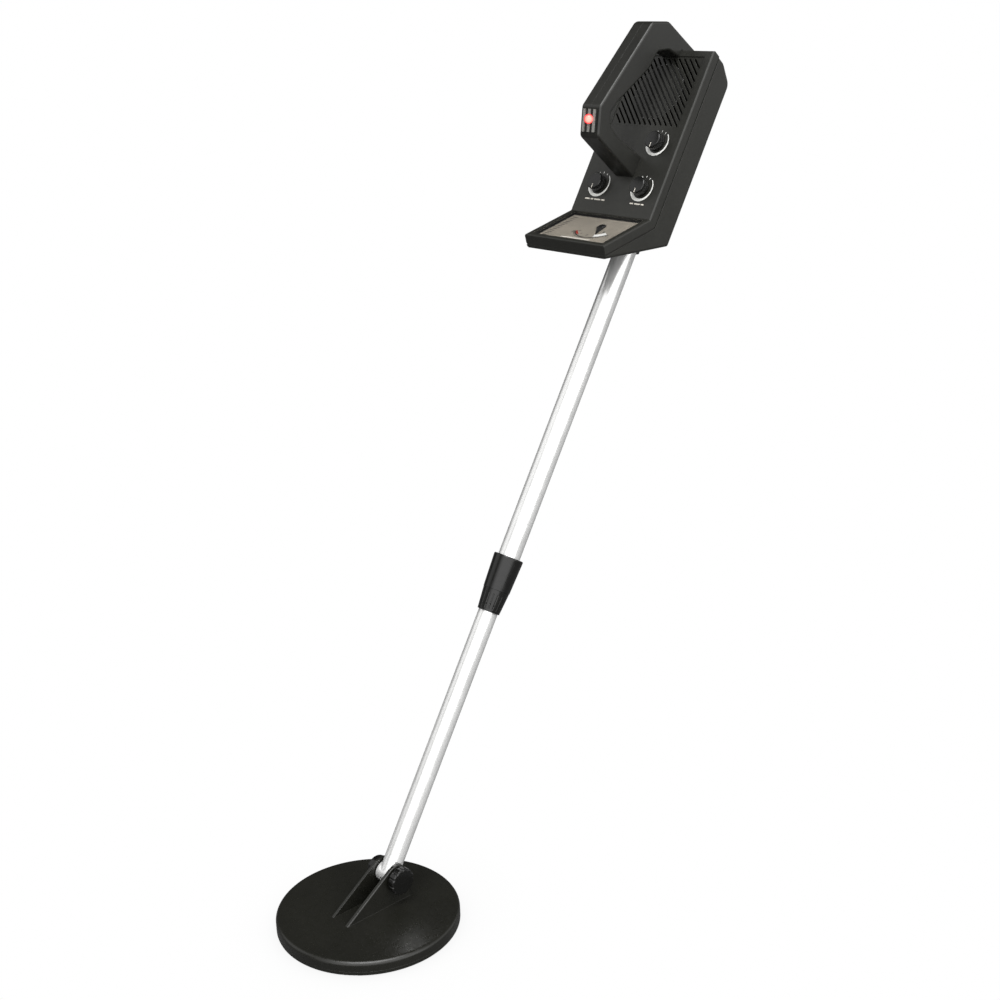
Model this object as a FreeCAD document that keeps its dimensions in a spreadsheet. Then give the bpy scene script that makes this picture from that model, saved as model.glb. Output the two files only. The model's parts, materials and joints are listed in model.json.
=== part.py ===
import FreeCAD, Part
import math
import os
import Sketcher
from FreeCAD import Placement, Rotation, Vector

# A hobby metal detector: a round search head on a leaning two-piece stem, with a
# control housing, a tilted meter tray and a loop handle at the top.
#
# The row frame has its origin at the centre of the search head's underside, +Z up,
# +X forward and +Y to the user's left. Everything above the pivot is modelled in the
# stem frame: origin on the pivot bolt, z up the stem, x out of the control panel.
# The meter is modelled in the tray frame: origin on the inner corner where the tray
# meets the panel, x towards the tray's front edge, z out of the tray's top.

os.makedirs("parts", exist_ok=True)
document = FreeCAD.newDocument("metal_detector")

SIZES = {
    # search head
    "coil_radius": 100.0,
    "coil_height": 16.0,
    "coil_wall": 2.5,
    "coil_edge_round": 4.5,
    "cover_height": 5.0,
    "cover_edge_round": 2.0,
    "post_radius": 4.0,
    "post_circle": 78.0,
    "post_count": 6,
    "transmit_radius": 90.0,
    "receive_radius": 46.0,
    "winding_width": 8.0,
    "winding_height": 6.5,
    "carrier_thickness": 1.5,
    "board_thickness": 1.6,
    "grommet_x": -6.0,
    "cable_radius": 2.0,
    # hinge
    "pivot_x": -30.7,
    "pivot_height": 45.0,
    "lean": 31.13,
    "ear_radius": 15.0,
    "ear_thickness": 4.0,
    "ear_inner": 10.5,
    "ear_front_x": 38.0,
    "tongue_half": 9.0,
    "bolt_radius": 4.0,
    "bolt_head_radius": 13.0,
    "bolt_head_height": 8.5,
    "thumb_nut_radius": 15.0,
    "thumb_nut_hub_radius": 9.0,
    "thumb_nut_height": 11.0,
    "washer_radius": 10.5,
    "running_gap": 0.05,
    # stem
    "lower_tube_radius": 11.0,
    "upper_tube_radius": 12.5,
    "tube_wall": 1.2,
    "lower_tube_start": 24.0,
    "lower_tube_end": 594.0,
    "plug_length": 36.0,
    "plug_screw_z": 34.0,
    "plug_screw_pitch": 16.0,
    "cable_channel_x": 6.9,
    "bush_flange": 6.0,
    "bush_length": 20.0,
    "upper_tube_start": 341.0,
    "upper_tube_end": 925.0,
    # locking collar
    "collar_bottom": 306.0,
    "collar_break": 331.2,
    "collar_top": 370.2,
    "collar_bottom_radius": 12.7,
    "collar_break_radius": 14.9,
    "collar_top_radius": 17.0,
    "collar_spigot_radius": 13.05,
    "collet_radius": 11.95,
    "flute_count": 18,
    "flute_radius": 1.3,
    # control housing
    "half_width": 60.2,
    "back_x": 2.0,
    "panel_x": 44.0,
    "corner_z": 759.7,
    "panel_top_z": 957.0,
    "top_step_x": 22.0,
    "top_step_z": 953.0,
    "top_back_z": 938.0,
    "tray_length": 74.0,
    "tray_front": 15.5,
    "tray_angle": 45.0,
    "seam_depth": 12.0,
    "shell_wall": 2.5,
    "seam_gap": 1.4,
    "seam_gap_depth": 0.9,
    "socket_radius": 15.5,
    "socket_bottom_z": 738.0,
    "socket_top_z": 934.0,
    "case_screw_y": 53.0,
    "case_boss_radius": 3.8,
    "boss_meeting_x": 16.0,
    # speaker grille
    "grille_bottom_z": 865.0,
    "grille_top_z": 949.0,
    "grille_half_width": 50.0,
    "grille_recess": 1.0,
    "grille_pitch": 5.4,
    "grille_slot_radius": 1.05,
    "speaker_z": 908.0,
    "speaker_radius": 33.0,
    # panel controls
    "knob_z": 793.7,
    "knob_y": 32.0,
    "knob_radius": 9.8,
    "knob_height": 9.0,
    "knob_lift": 1.0,
    "pot_radius": 8.0,
    "pot_depth": 9.0,
    "pot_bush_radius": 3.5,
    "pot_shaft_radius": 3.0,
    "volume_y": 29.5,
    "volume_z": 847.0,
    # meter
    "meter_half_width": 53.5,
    "meter_near": 1.5,
    "meter_far": 68.5,
    "window_thickness": 1.5,
    "window_depth": 0.4,
    "face_depth": 4.0,
    "face_thickness": 0.8,
    "needle_x": 24.0,
    "needle_y": 10.0,
    "needle_rest": 25.0,
    "needle_length": 22.0,
    # handle
    "handle_half": 13.9,
    "handle_wall": 2.6,
    "handle_edge_round": 2.4,
    "handle_corner_round": 6.0,
    "handle_top_round": 10.0,
    # indicator
    "led_radius": 5.0,
    "led_height": 6.5,
    "bezel_sleeve": 0.6,
    "bezel_length": 24.0,
    "bezel_half_width": 10.5,
    "bezel_rib_pitch": 7.4,
    "bezel_rib_width": 3.4,
    # battery compartment
    "door_y": 17.6,
    "door_width": 30.0,
    "door_bottom_z": 766.0,
    "door_height": 112.0,
    "hinge_pin_radius": 0.8,
    "battery_length": 48.5,
    "battery_width": 26.5,
    "battery_depth": 17.5,
}

sheet = document.addObject("Spreadsheet::Sheet", "dims")
for row, (name, size) in enumerate(SIZES.items(), start=1):
    sheet.set(f"A{row}", name)
    sheet.set(f"B{row}", str(size))
    sheet.setAlias(f"B{row}", name)
document.recompute()


class Size:
    """A number together with the sheet expression it came from."""

    def __init__(self, value, text):
        self.value = float(value)
        self.text = text

    def __add__(self, other):
        other = as_size(other)
        return Size(self.value + other.value, f"({self.text} + {other.text})")

    def __sub__(self, other):
        other = as_size(other)
        return Size(self.value - other.value, f"({self.text} - {other.text})")

    def __mul__(self, other):
        other = as_size(other)
        return Size(self.value * other.value, f"({self.text} * {other.text})")

    def __truediv__(self, other):
        other = as_size(other)
        return Size(self.value / other.value, f"({self.text} / {other.text})")

    def __radd__(self, other):
        return as_size(other) + self

    def __rsub__(self, other):
        return as_size(other) - self

    def __rmul__(self, other):
        return as_size(other) * self

    def __neg__(self):
        return Size(-self.value, f"(-{self.text})")


def as_size(item):
    return item if isinstance(item, Size) else Size(item, f"({item})")


def sine(angle):
    return Size(math.sin(math.radians(angle.value)), f"sin({angle.text} * 1 deg)")


def cosine(angle):
    return Size(math.cos(math.radians(angle.value)), f"cos({angle.text} * 1 deg)")


class SheetSizes:
    """Gives each named cell of the sheet as a Size."""

    def __getattr__(self, name):
        return Size(sheet.get(name), f"dims.{name}")


d = SheetSizes()
GAP = d.running_gap

# ---------------------------------------------------------------- frames

ROW_FRAME = Placement()
STEM_FRAME = Placement(
    Vector(d.pivot_x.value, 0, d.pivot_height.value),
    Rotation(Vector(0, 1, 0), -d.lean.value),
)
TRAY_FRAME = STEM_FRAME * Placement(
    Vector(d.panel_x.value, 0, d.corner_z.value),
    Rotation(Vector(0, 1, 0), d.tray_angle.value),
)
ALONG_X = Rotation(Vector(0, 1, 0), 90)
BACK_X = Rotation(Vector(0, 1, 0), -90)
ALONG_Y = Rotation(Vector(1, 0, 0), -90)
BACK_Y = Rotation(Vector(1, 0, 0), 90)
ALONG_Z = Rotation()


def at(x, y, z, turn=ALONG_Z):
    numbers = [as_size(n).value for n in (x, y, z)]
    return Placement(Vector(*numbers), turn)


# ---------------------------------------------------------------- modelling helpers

nodes = []


def new_body(name, frame=ROW_FRAME):
    body = document.addObject("PartDesign::Body", name)
    body.Label = name
    body.Placement = frame
    nodes.append(body)
    return body


def bind(item, path, size):
    item.setExpression(path, as_size(size).text)


def new_sketch(body, plane, lift=0):
    sketch = body.newObject("Sketcher::SketchObject", f"{body.Label}_outline")
    support = [f for f in body.Origin.OriginFeatures if f.Role == f"{plane}_Plane"][0]
    sketch.AttachmentSupport = (support, [""])
    sketch.MapMode = "FlatFace"
    sketch.AttachmentOffset = at(0, 0, lift)
    bind(sketch, "AttachmentOffset.Base.z", lift)
    return sketch


def place_point(sketch, line, point, x, y):
    """Holds one end of a sketch line at a place worked out from the sheet."""
    for kind, axis, size in (("DistanceX", -2, as_size(x)), ("DistanceY", -1, as_size(y))):
        if abs(size.value) < 1e-9:
            sketch.addConstraint(Sketcher.Constraint("PointOnObject", line, point, axis))
            continue
        rule = Sketcher.Constraint(kind, -1, 1, line, point, size.value)
        number = sketch.addConstraint(rule)
        sketch.setExpression(f"Constraints[{number}]", size.text)


def draw_polygon(sketch, corners):
    """A closed outline of straight lines, each corner held by its two sizes."""
    places = [Vector(as_size(x).value, as_size(y).value, 0) for x, y in corners]
    ends = places[1:] + places[:1]
    lines = [sketch.addGeometry(Part.LineSegment(a, b)) for a, b in zip(places, ends)]
    for line, following in zip(lines, lines[1:] + lines[:1]):
        sketch.addConstraint(Sketcher.Constraint("Coincident", line, 2, following, 1))
    for line, (x, y) in zip(lines, corners):
        place_point(sketch, line, 1, x, y)


def draw_slot(sketch, start, end, radius):
    """A round-ended slot between two centres."""
    along = (end - start).normalize()
    side = Vector(-along.y, along.x, 0) * radius
    angle = math.atan2(along.y, along.x)
    normal = Vector(0, 0, 1)
    quarter = math.pi / 2
    pieces = [
        Part.LineSegment(start - side, end - side),
        Part.ArcOfCircle(Part.Circle(end, normal, radius), angle - quarter, angle + quarter),
        Part.LineSegment(end + side, start + side),
        Part.ArcOfCircle(Part.Circle(start, normal, radius), angle + quarter, angle + 3 * quarter),
    ]
    for piece in pieces:
        sketch.addGeometry(piece)


def extrude(body, kind, sketch, length, way="One side", reverse=False):
    feature = body.newObject(f"PartDesign::{kind}", f"{body.Label}_{kind.lower()}")
    feature.Profile = sketch
    feature.SideType = way
    feature.Reversed = reverse
    bind(feature, "Length", length)
    sketch.Visibility = False
    return feature


def pad(body, sketch, length, way="One side", reverse=False):
    return extrude(body, "Pad", sketch, length, way, reverse)


def cut(body, sketch, length, way="One side", reverse=False):
    return extrude(body, "Pocket", sketch, length, way, reverse)


def turn_profile(body, corners, kind="Revolution"):
    """Turns an outline of (radius, height) corners about the body's z axis."""
    sketch = new_sketch(body, "XZ")
    draw_polygon(sketch, corners)
    feature = body.newObject(f"PartDesign::{kind}", f"{body.Label}_{kind.lower()}")
    feature.Profile = sketch
    feature.ReferenceAxis = (sketch, ["V_Axis"])
    feature.Angle = 360
    sketch.Visibility = False
    return feature


def side_outline(body, corners, width, kind="Pad"):
    """Extrudes an outline of (x, z) corners equally to both sides of the x-z plane."""
    sketch = new_sketch(body, "XZ")
    draw_polygon(sketch, corners)
    return extrude(body, kind, sketch, width, "Symmetric")


def cylinder(body, kind, radius, length, place):
    feature = body.newObject(f"PartDesign::{kind}Cylinder", f"{body.Label}_{kind.lower()}")
    bind(feature, "Radius", radius)
    bind(feature, "Height", length)
    feature.Placement = place
    return feature


def boss(body, radius, length, place):
    return cylinder(body, "Additive", radius, length, place)


def bore(body, radius, length, place):
    return cylinder(body, "Subtractive", radius, length, place)


def block(body, kind, x, y, z, place):
    feature = body.newObject(f"PartDesign::{kind}Box", f"{body.Label}_{kind.lower()}_box")
    bind(feature, "Length", x)
    bind(feature, "Width", y)
    bind(feature, "Height", z)
    feature.Placement = place
    return feature


def dress(body, kind, size, wanted):
    """Rounds or chamfers the edges of the body's tip that the test picks."""
    document.recompute()
    tip = body.Tip
    picked = [f"Edge{n}" for n, edge in enumerate(tip.Shape.Edges, start=1) if wanted(edge)]
    if not picked:
        raise RuntimeError(f"{body.Label}: no edge found to {kind.lower()}")
    feature = body.newObject(f"PartDesign::{kind}", f"{body.Label}_{kind.lower()}")
    feature.Base = (tip, picked)
    bind(feature, "Radius" if kind == "Fillet" else "Size", size)
    return feature


def near(a, b, slack=0.01):
    return abs(a - as_size(b).value) < slack


def ring_edges(radius, height):
    """Picks the circular edges of a turned piece at one radius and height."""
    def wanted(edge):
        curve = edge.Curve
        is_circle = curve.TypeId == "Part::GeomCircle"
        return is_circle and near(curve.Radius, radius) and near(curve.Center.z, height)
    return wanted


def repeat_around(body, feature, count):
    pattern = body.newObject("PartDesign::PolarPattern", f"{body.Label}_pattern")
    pattern.Originals = [feature]
    axis = [f for f in body.Origin.OriginFeatures if f.Role == "Z_Axis"][0]
    pattern.Axis = (axis, [""])
    pattern.Angle = 360
    bind(pattern, "Occurrences", count)
    body.Tip = pattern
    return pattern


def part_cylinder(name, radius, length, place=ROW_FRAME):
    piece = document.addObject("Part::Cylinder", name)
    bind(piece, "Radius", radius)
    bind(piece, "Height", length)
    piece.Placement = place
    return piece


def fused(name, first, second, frame=ROW_FRAME):
    piece = document.addObject("Part::Fuse", name)
    piece.Base = first
    piece.Tool = second
    piece.Placement = frame
    return piece


def group(name, pieces):
    """One node holding several separate, identical pieces."""
    node = document.addObject("Part::Compound", name)
    node.Label = name
    node.Links = pieces
    nodes.append(node)
    return node


def pan_screw(name, head_radius, head_height, shank_radius, shank_length, frame):
    """A screw whose head rests on its frame's x-y plane and whose shank points up z."""
    head = part_cylinder(f"{name}_head", head_radius, head_height, at(0, 0, -head_height))
    shank = part_cylinder(f"{name}_shank", shank_radius, shank_length)
    return fused(name, head, shank, frame)


def draw_round_section(sketch, radius):
    """A circle about the sketch's origin, made of four quarter arcs."""
    circle = Part.Circle(Vector(), Vector(0, 0, 1), radius.value)
    quarter = math.pi / 2
    for n in range(4):
        arc = sketch.addGeometry(Part.ArcOfCircle(circle, n * quarter, (n + 1) * quarter))
        sketch.addConstraint(Sketcher.Constraint("Coincident", arc, 3, -1, 1))
        number = sketch.addConstraint(Sketcher.Constraint("Radius", arc, radius.value))
        sketch.setExpression(f"Constraints[{number}]", radius.text)


def cable(name, points, radius, frame=ROW_FRAME):
    """A round cable swept along a smooth path through the given points."""
    body = new_body(name, frame)
    path = new_sketch(body, "XZ")
    places = [Vector(as_size(x).value, as_size(z).value, 0) for x, z in points]
    curve = Part.BSplineCurve()
    curve.interpolate(places)
    path.addGeometry(curve)
    document.recompute()
    start = curve.value(curve.FirstParameter)
    heading = curve.tangent(curve.FirstParameter)[0]
    profile = body.newObject("Sketcher::SketchObject", f"{name}_section")
    tilt = Rotation(Vector(0, 0, 1), Vector(heading.x, 0, heading.y))
    profile.Placement = Placement(Vector(start.x, 0, start.y), tilt)
    draw_round_section(profile, as_size(radius))
    pipe = body.newObject("PartDesign::AdditivePipe", f"{name}_pipe")
    pipe.Profile = profile
    pipe.Spine = (path, [])
    pipe.Mode = "Standard"
    return body


# ---------------------------------------------------------------- search head


def coil_upper_shell():
    body = new_body("coil_upper_shell")
    inner_radius = d.coil_radius - d.coil_wall
    inner_top = d.coil_height - d.coil_wall
    turn_profile(body, [
        (0, inner_top), (inner_radius, inner_top), (inner_radius, d.cover_height),
        (d.coil_radius, d.cover_height), (d.coil_radius, d.coil_height), (0, d.coil_height),
    ])
    ears(body)
    post = boss(body, d.post_radius, inner_top - d.coil_wall + GAP,
                at(d.post_circle, 0, d.coil_wall))
    repeat_around(body, post, d.post_count)
    bolt_place = at(d.pivot_x, -30, d.pivot_height, ALONG_Y)
    bore(body, d.bolt_radius + GAP, 60, bolt_place)
    bore(body, d.cable_radius * 2 + GAP, 20, at(d.grommet_x, 0, 8))
    screw_hole = bore(body, 1.35, 10, at(d.post_circle, 0, 0))
    repeat_around(body, screw_hole, d.post_count)
    dress(body, "Fillet", d.coil_edge_round, ring_edges(d.coil_radius, d.coil_height))
    dress(body, "Fillet", 1.2, outer_ear_edges)


def ears(body):
    """Two gusset plates whose front edges run tangent into rounded tops."""
    slope = 34.0
    centre_x, centre_z = d.pivot_x, d.pivot_height
    radius = d.ear_radius.value
    top = Vector(centre_x.value + radius * math.sin(math.radians(slope)),
                 centre_z.value + radius * math.cos(math.radians(slope)), 0)
    sunk = d.coil_height.value - 1
    foot = Vector(top.x + (top.y - sunk) / math.tan(math.radians(slope)), sunk, 0)
    back = Vector(centre_x.value - radius, centre_z.value, 0)
    back_foot = Vector(back.x - 3, sunk, 0)
    crown = Part.ArcOfCircle(
        Part.Circle(Vector(centre_x.value, centre_z.value, 0), Vector(0, 0, 1), radius),
        math.radians(90 - slope), math.pi)
    for side in (1, -1):
        lift = -side * d.ear_inner.value
        sketch = body.newObject("Sketcher::SketchObject", "ear_outline")
        support = [f for f in body.Origin.OriginFeatures if f.Role == "XZ_Plane"][0]
        sketch.AttachmentSupport = (support, [""])
        sketch.MapMode = "FlatFace"
        sketch.AttachmentOffset = at(0, 0, lift)
        for piece in (Part.LineSegment(foot, top), crown, Part.LineSegment(back, back_foot),
                      Part.LineSegment(back_foot, foot)):
            sketch.addGeometry(piece)
        pad(body, sketch, d.ear_thickness, reverse=(side == 1))


def outer_ear_edges(edge):
    """The outer rim of each ear, above the search head's top."""
    outer = d.ear_inner.value + d.ear_thickness.value
    ends = [vertex.Point for vertex in edge.Vertexes]
    on_outer_face = all(near(abs(p.y), outer) for p in ends)
    return on_outer_face and len(ends) > 1 and max(p.z for p in ends) > 30


def coil_lower_cover():
    body = new_body("coil_lower_cover")
    wall = d.coil_wall
    lip = d.coil_radius - wall - GAP
    turn_profile(body, [
        (0, 0), (d.coil_radius, 0), (d.coil_radius, d.cover_height), (lip, d.cover_height),
        (lip, d.cover_height + 2), (lip - wall, d.cover_height + 2), (lip - wall, wall), (0, wall),
    ])
    hole = bore(body, 1.7, 8, at(d.post_circle, 0, -2))
    repeat_around(body, hole, d.post_count)
    recess = bore(body, 3.3, 3.2, at(d.post_circle, 0, -2))
    repeat_around(body, recess, d.post_count)
    dress(body, "Fillet", d.cover_edge_round, ring_edges(d.coil_radius, 0))


def coil_cover_screws():
    screws = []
    for number in range(int(d.post_count.value)):
        angle = 2 * math.pi * number / d.post_count.value
        circle = d.post_circle.value
        place = at(circle * math.cos(angle), circle * math.sin(angle), 1.2)
        screws.append(pan_screw(f"cover_screw_{number + 1}", 3.0, 1.0, 1.3, 8.0, place))
    group("coil_cover_screws", screws)


def winding_carrier():
    body = new_body("winding_carrier")
    outer = d.coil_radius - d.coil_wall * 2 - 1
    bottom = d.coil_wall + GAP
    turn_profile(body, [
        (0, bottom), (outer, bottom), (outer, bottom + d.carrier_thickness),
        (0, bottom + d.carrier_thickness),
    ])
    hole = bore(body, d.post_radius + 0.3, 6, at(d.post_circle, 0, 0))
    repeat_around(body, hole, d.post_count)


def winding(name, radius):
    body = new_body(name)
    bottom = d.coil_wall + GAP + d.carrier_thickness
    half = d.winding_width / 2
    turn_profile(body, [
        (radius - half, bottom), (radius + half, bottom),
        (radius + half, bottom + d.winding_height), (radius - half, bottom + d.winding_height),
    ])
    top = bottom + d.winding_height
    dress(body, "Fillet", 1.8, ring_edges(radius + half, top))


def coil_terminal_board():
    body = new_body("coil_terminal_board")
    bottom = d.coil_wall + GAP + d.carrier_thickness
    block(body, "Additive", 40, 26, d.board_thickness, at(-20, -13, bottom))
    for x in (-16, 16):
        for y in (-9, 9):
            bore(body, 1.2, 5, at(x, y, 2))


def coil_grommet():
    body = new_body("coil_grommet", at(d.grommet_x, 0, 0))
    top = d.coil_height
    neck = d.cable_radius * 2
    hole = d.cable_radius + 0.8
    turn_profile(body, [
        (hole, top - d.coil_wall - 1), (neck - GAP, top - d.coil_wall - 1),
        (neck - GAP, top), (6.5, top), (6.5, top + 1.6), (hole, top + 2.6),
    ])


def coil_lead():
    """The short flexible lead from the search head to the end of the stem."""
    start = STEM_FRAME.multVec(Vector(d.cable_channel_x.value, 0, -10.4))
    board_top = d.coil_wall.value + d.carrier_thickness.value + d.board_thickness.value
    x = d.grommet_x.value
    cable("coil_lead", [
        (x, board_top + 0.3), (x, d.coil_height.value - 4), (x - 0.1, d.coil_height.value + 2),
        (start.x + 7, start.z - 10), (start.x + 2.8, start.z - 4.7), (start.x, start.z),
    ], d.cable_radius)


# ---------------------------------------------------------------- hinge


def pivot_bolt():
    """Has a broad domed head on the user's right, the pair of the nut on the left."""
    outer = d.ear_inner + d.ear_thickness
    past_nut = 8
    head = d.bolt_head_height
    body = new_body("pivot_bolt", at(d.pivot_x, -outer, d.pivot_height, ALONG_Y))
    turn_profile(body, [
        (0, -head), (d.bolt_head_radius, -head), (d.bolt_head_radius, 0), (d.bolt_radius, 0),
        (d.bolt_radius, outer * 2 + past_nut), (0, outer * 2 + past_nut),
    ])
    dress(body, "Fillet", 3.0, ring_edges(d.bolt_head_radius, -head))
    dress(body, "Chamfer", 0.8, ring_edges(d.bolt_radius, outer * 2 + past_nut))


def pivot_thumb_nut():
    """The round hand nut on the user's left of the hinge, with finger flutes."""
    outer = d.ear_inner + d.ear_thickness + GAP
    body = new_body("pivot_thumb_nut", at(d.pivot_x, outer, d.pivot_height, ALONG_Y))
    height = d.thumb_nut_height
    hub = d.thumb_nut_hub_radius
    turn_profile(body, [
        (d.bolt_radius + GAP, 0), (hub, 0), (hub, 2), (d.thumb_nut_radius, 3),
        (d.thumb_nut_radius, height), (0, height), (0, height - 1.5),
        (d.bolt_radius + GAP, height - 1.5),
    ])
    flute = bore(body, 2.0, height, at(d.thumb_nut_radius + 1, 0, 1))
    repeat_around(body, flute, 12)
    dress(body, "Chamfer", 1.2, lambda edge: all(near(v.Z, height) for v in edge.Vertexes))


def friction_washers():
    washers = []
    thickness = d.ear_inner - d.tongue_half - 0.1
    for side, start in (("left", d.tongue_half + 0.05), ("right", -d.ear_inner + 0.05)):
        place = at(d.pivot_x, start, d.pivot_height, ALONG_Y)
        disc = part_cylinder(f"{side}_washer_disc", d.washer_radius, thickness)
        hole = part_cylinder(f"{side}_washer_hole", d.bolt_radius + GAP, thickness)
        washer = document.addObject("Part::Cut", f"{side}_washer")
        washer.Base = disc
        washer.Tool = hole
        washer.Placement = place
        washers.append(washer)
    group("friction_washers", washers)


# ---------------------------------------------------------------- lower stem


PLUG_SCREW_Z = (d.plug_screw_z, d.plug_screw_z + d.plug_screw_pitch)


def stem_end_plug():
    """An alloy end for the stem, milled flat on both sides to stand between the ears."""
    body = new_body("stem_end_plug", STEM_FRAME)
    radius = d.lower_tube_radius
    shoulder = d.lower_tube_start
    flat = d.tongue_half
    boss(body, radius, shoulder, ROW_FRAME)
    flat_height = shoulder - 8
    for edge_y in (flat, -flat - radius):
        block(body, "Subtractive", radius * 2, radius, flat_height, at(-radius, edge_y, 0))
    boss(body, radius, flat * 2, at(0, -flat, 0, ALONG_Y))
    spigot = radius - d.tube_wall - GAP
    boss(body, spigot, d.plug_length, at(0, 0, shoulder))
    bore(body, d.bolt_radius + GAP, 40, at(0, -20, 0, ALONG_Y))
    bore(body, d.cable_radius + 0.5, 120, at(d.cable_channel_x, 0, -40))
    for z in PLUG_SCREW_Z:
        bore(body, 1.3, 10, at(-12, 0, z, ALONG_X))


def lower_tube():
    body = new_body("lower_tube", STEM_FRAME)
    turn_profile(body, [
        (d.lower_tube_radius - d.tube_wall, d.lower_tube_start),
        (d.lower_tube_radius, d.lower_tube_start),
        (d.lower_tube_radius, d.lower_tube_end),
        (d.lower_tube_radius - d.tube_wall, d.lower_tube_end),
    ])
    for z in PLUG_SCREW_Z:
        bore(body, 1.6, 10, at(-15, 0, z, ALONG_X))


def plug_screws():
    """Two screws through the back of the lower tube into its end fitting."""
    back = -d.lower_tube_radius - 0.02
    screws = []
    for number, z in enumerate(PLUG_SCREW_Z, start=1):
        place = STEM_FRAME * at(back, 0, z, ALONG_X)
        screws.append(pan_screw(f"plug_screw_{number}", 2.9, 1.5, 1.25, 6.5, place))
    group("plug_screws", screws)


def guide_bush():
    """Keeps the lower tube central where it slides inside the upper tube."""
    body = new_body("guide_bush", STEM_FRAME)
    inner = d.upper_tube_radius - d.tube_wall - GAP
    spigot = d.lower_tube_radius - d.tube_wall - GAP
    top = d.lower_tube_end
    turn_profile(body, [
        (8, top - d.bush_length), (spigot, top - d.bush_length), (spigot, top),
        (inner, top), (inner, top + d.bush_flange), (8, top + d.bush_flange),
    ])
    dress(body, "Chamfer", 0.6, ring_edges(inner, top + d.bush_flange))


def stem_cable():
    channel = d.cable_channel_x
    plug_top = d.lower_tube_start + d.plug_length
    cable("stem_cable", [
        (channel, -7.0), (channel, plug_top / 4), (channel, plug_top / 2),
        (channel, plug_top * 0.75), (channel, plug_top + 1), (3.4, plug_top + 24),
        (0, plug_top + 50), (0, 200), (0, 300), (0, 500), (0, 690),
    ], d.cable_radius, STEM_FRAME)


# ---------------------------------------------------------------- locking collar


def lock_nut():
    body = new_body("lock_nut", STEM_FRAME)
    bottom, top = d.collar_bottom, d.collar_break - 0.1
    tube = d.lower_tube_radius + GAP
    thread = d.collar_spigot_radius + GAP
    turn_profile(body, [
        (tube, bottom), (d.collar_bottom_radius, bottom), (d.collar_break_radius, top),
        (thread, top), (thread, bottom + 7), (d.collet_radius + GAP, bottom + 7),
        (tube, bottom + 5),
    ])
    lean = math.atan2(d.collar_break_radius.value - d.collar_bottom_radius.value,
                      top.value - bottom.value)
    flute = bore(body, d.flute_radius, 18, at(
        d.collar_bottom_radius.value + 1.25, 0, bottom + 2.5,
        Rotation(Vector(0, 1, 0), math.degrees(lean))))
    repeat_around(body, flute, d.flute_count)


def collar_sleeve():
    body = new_body("collar_sleeve", STEM_FRAME)
    bottom = d.collar_bottom + 8
    step = d.upper_tube_start
    turn_profile(body, [
        (d.collet_radius + GAP, bottom), (d.collar_spigot_radius, bottom),
        (d.collar_spigot_radius, d.collar_break), (d.collar_break_radius + 0.3, d.collar_break),
        (d.collar_top_radius, d.collar_top), (d.upper_tube_radius + GAP, d.collar_top),
        (d.upper_tube_radius + GAP, step), (d.collet_radius + GAP, step),
    ])
    dress(body, "Fillet", 1.5, ring_edges(d.collar_top_radius, d.collar_top))


def collet():
    body = new_body("collet", STEM_FRAME)
    bottom, top = d.collar_bottom + 7.3, d.upper_tube_start - 0.3
    turn_profile(body, [
        (d.lower_tube_radius + GAP, bottom), (d.collet_radius - 0.3, bottom),
        (d.collet_radius, bottom + 2), (d.collet_radius, top), (d.lower_tube_radius + GAP, top),
    ])
    slit = block(body, "Subtractive", 4, 1.2, 20, at(d.lower_tube_radius - 1, -0.6, bottom - 1))
    repeat_around(body, slit, 4)


# ---------------------------------------------------------------- upper stem


def upper_tube():
    body = new_body("upper_tube", STEM_FRAME)
    inner = d.upper_tube_radius - d.tube_wall
    turn_profile(body, [
        (inner, d.upper_tube_start), (d.upper_tube_radius, d.upper_tube_start),
        (d.upper_tube_radius, d.upper_tube_end), (inner, d.upper_tube_end),
    ])
    bore(body, 4, 20, at(0, 0, 800, ALONG_X))
    for z in STEM_SCREW_Z:
        bore(body, 1.6, 20, at(0, 0, z, ALONG_X))


def upper_tube_cap():
    body = new_body("upper_tube_cap", STEM_FRAME)
    inner = d.upper_tube_radius - d.tube_wall - GAP
    top = d.upper_tube_end
    turn_profile(body, [
        (0, top - 18), (inner, top - 18), (inner, top), (d.upper_tube_radius, top),
        (d.upper_tube_radius, top + 3), (0, top + 3),
    ])


STEM_SCREW_Z = (765.0, 890.0)


def stem_screws():
    """Driven through the housing's socket from inside to hold the upper tube."""
    screws = []
    for number, z in enumerate(STEM_SCREW_Z, start=1):
        place = STEM_FRAME * at(d.socket_radius + 0.02, 0, z, BACK_X)
        screws.append(pan_screw(f"stem_screw_{number}", 2.9, 1.8, 1.45, 6.0, place))
    group("stem_screws", screws)


# ---------------------------------------------------------------- control housing


def tray_point(along, deep):
    """A point of the side view, from the tray corner: along the tray and below its top."""
    across, down = cosine(d.tray_angle), sine(d.tray_angle)
    x = d.panel_x + across * along - across * deep
    z = d.corner_z - down * along - down * deep
    return x, z


def corner_at(deep):
    """Where the faces lying `deep` below the panel and below the tray's top meet."""
    half = d.tray_angle / 2
    return d.panel_x - deep, d.corner_z - deep * (sine(half) / cosine(half))


def top_at(x, deep=0.0):
    """Height of the housing's top face at x, moved down by `deep`."""
    fall = (d.panel_top_z - d.top_step_z) / (d.panel_x - d.top_step_x)
    return d.panel_top_z - (d.panel_x - x) * fall - deep


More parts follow.
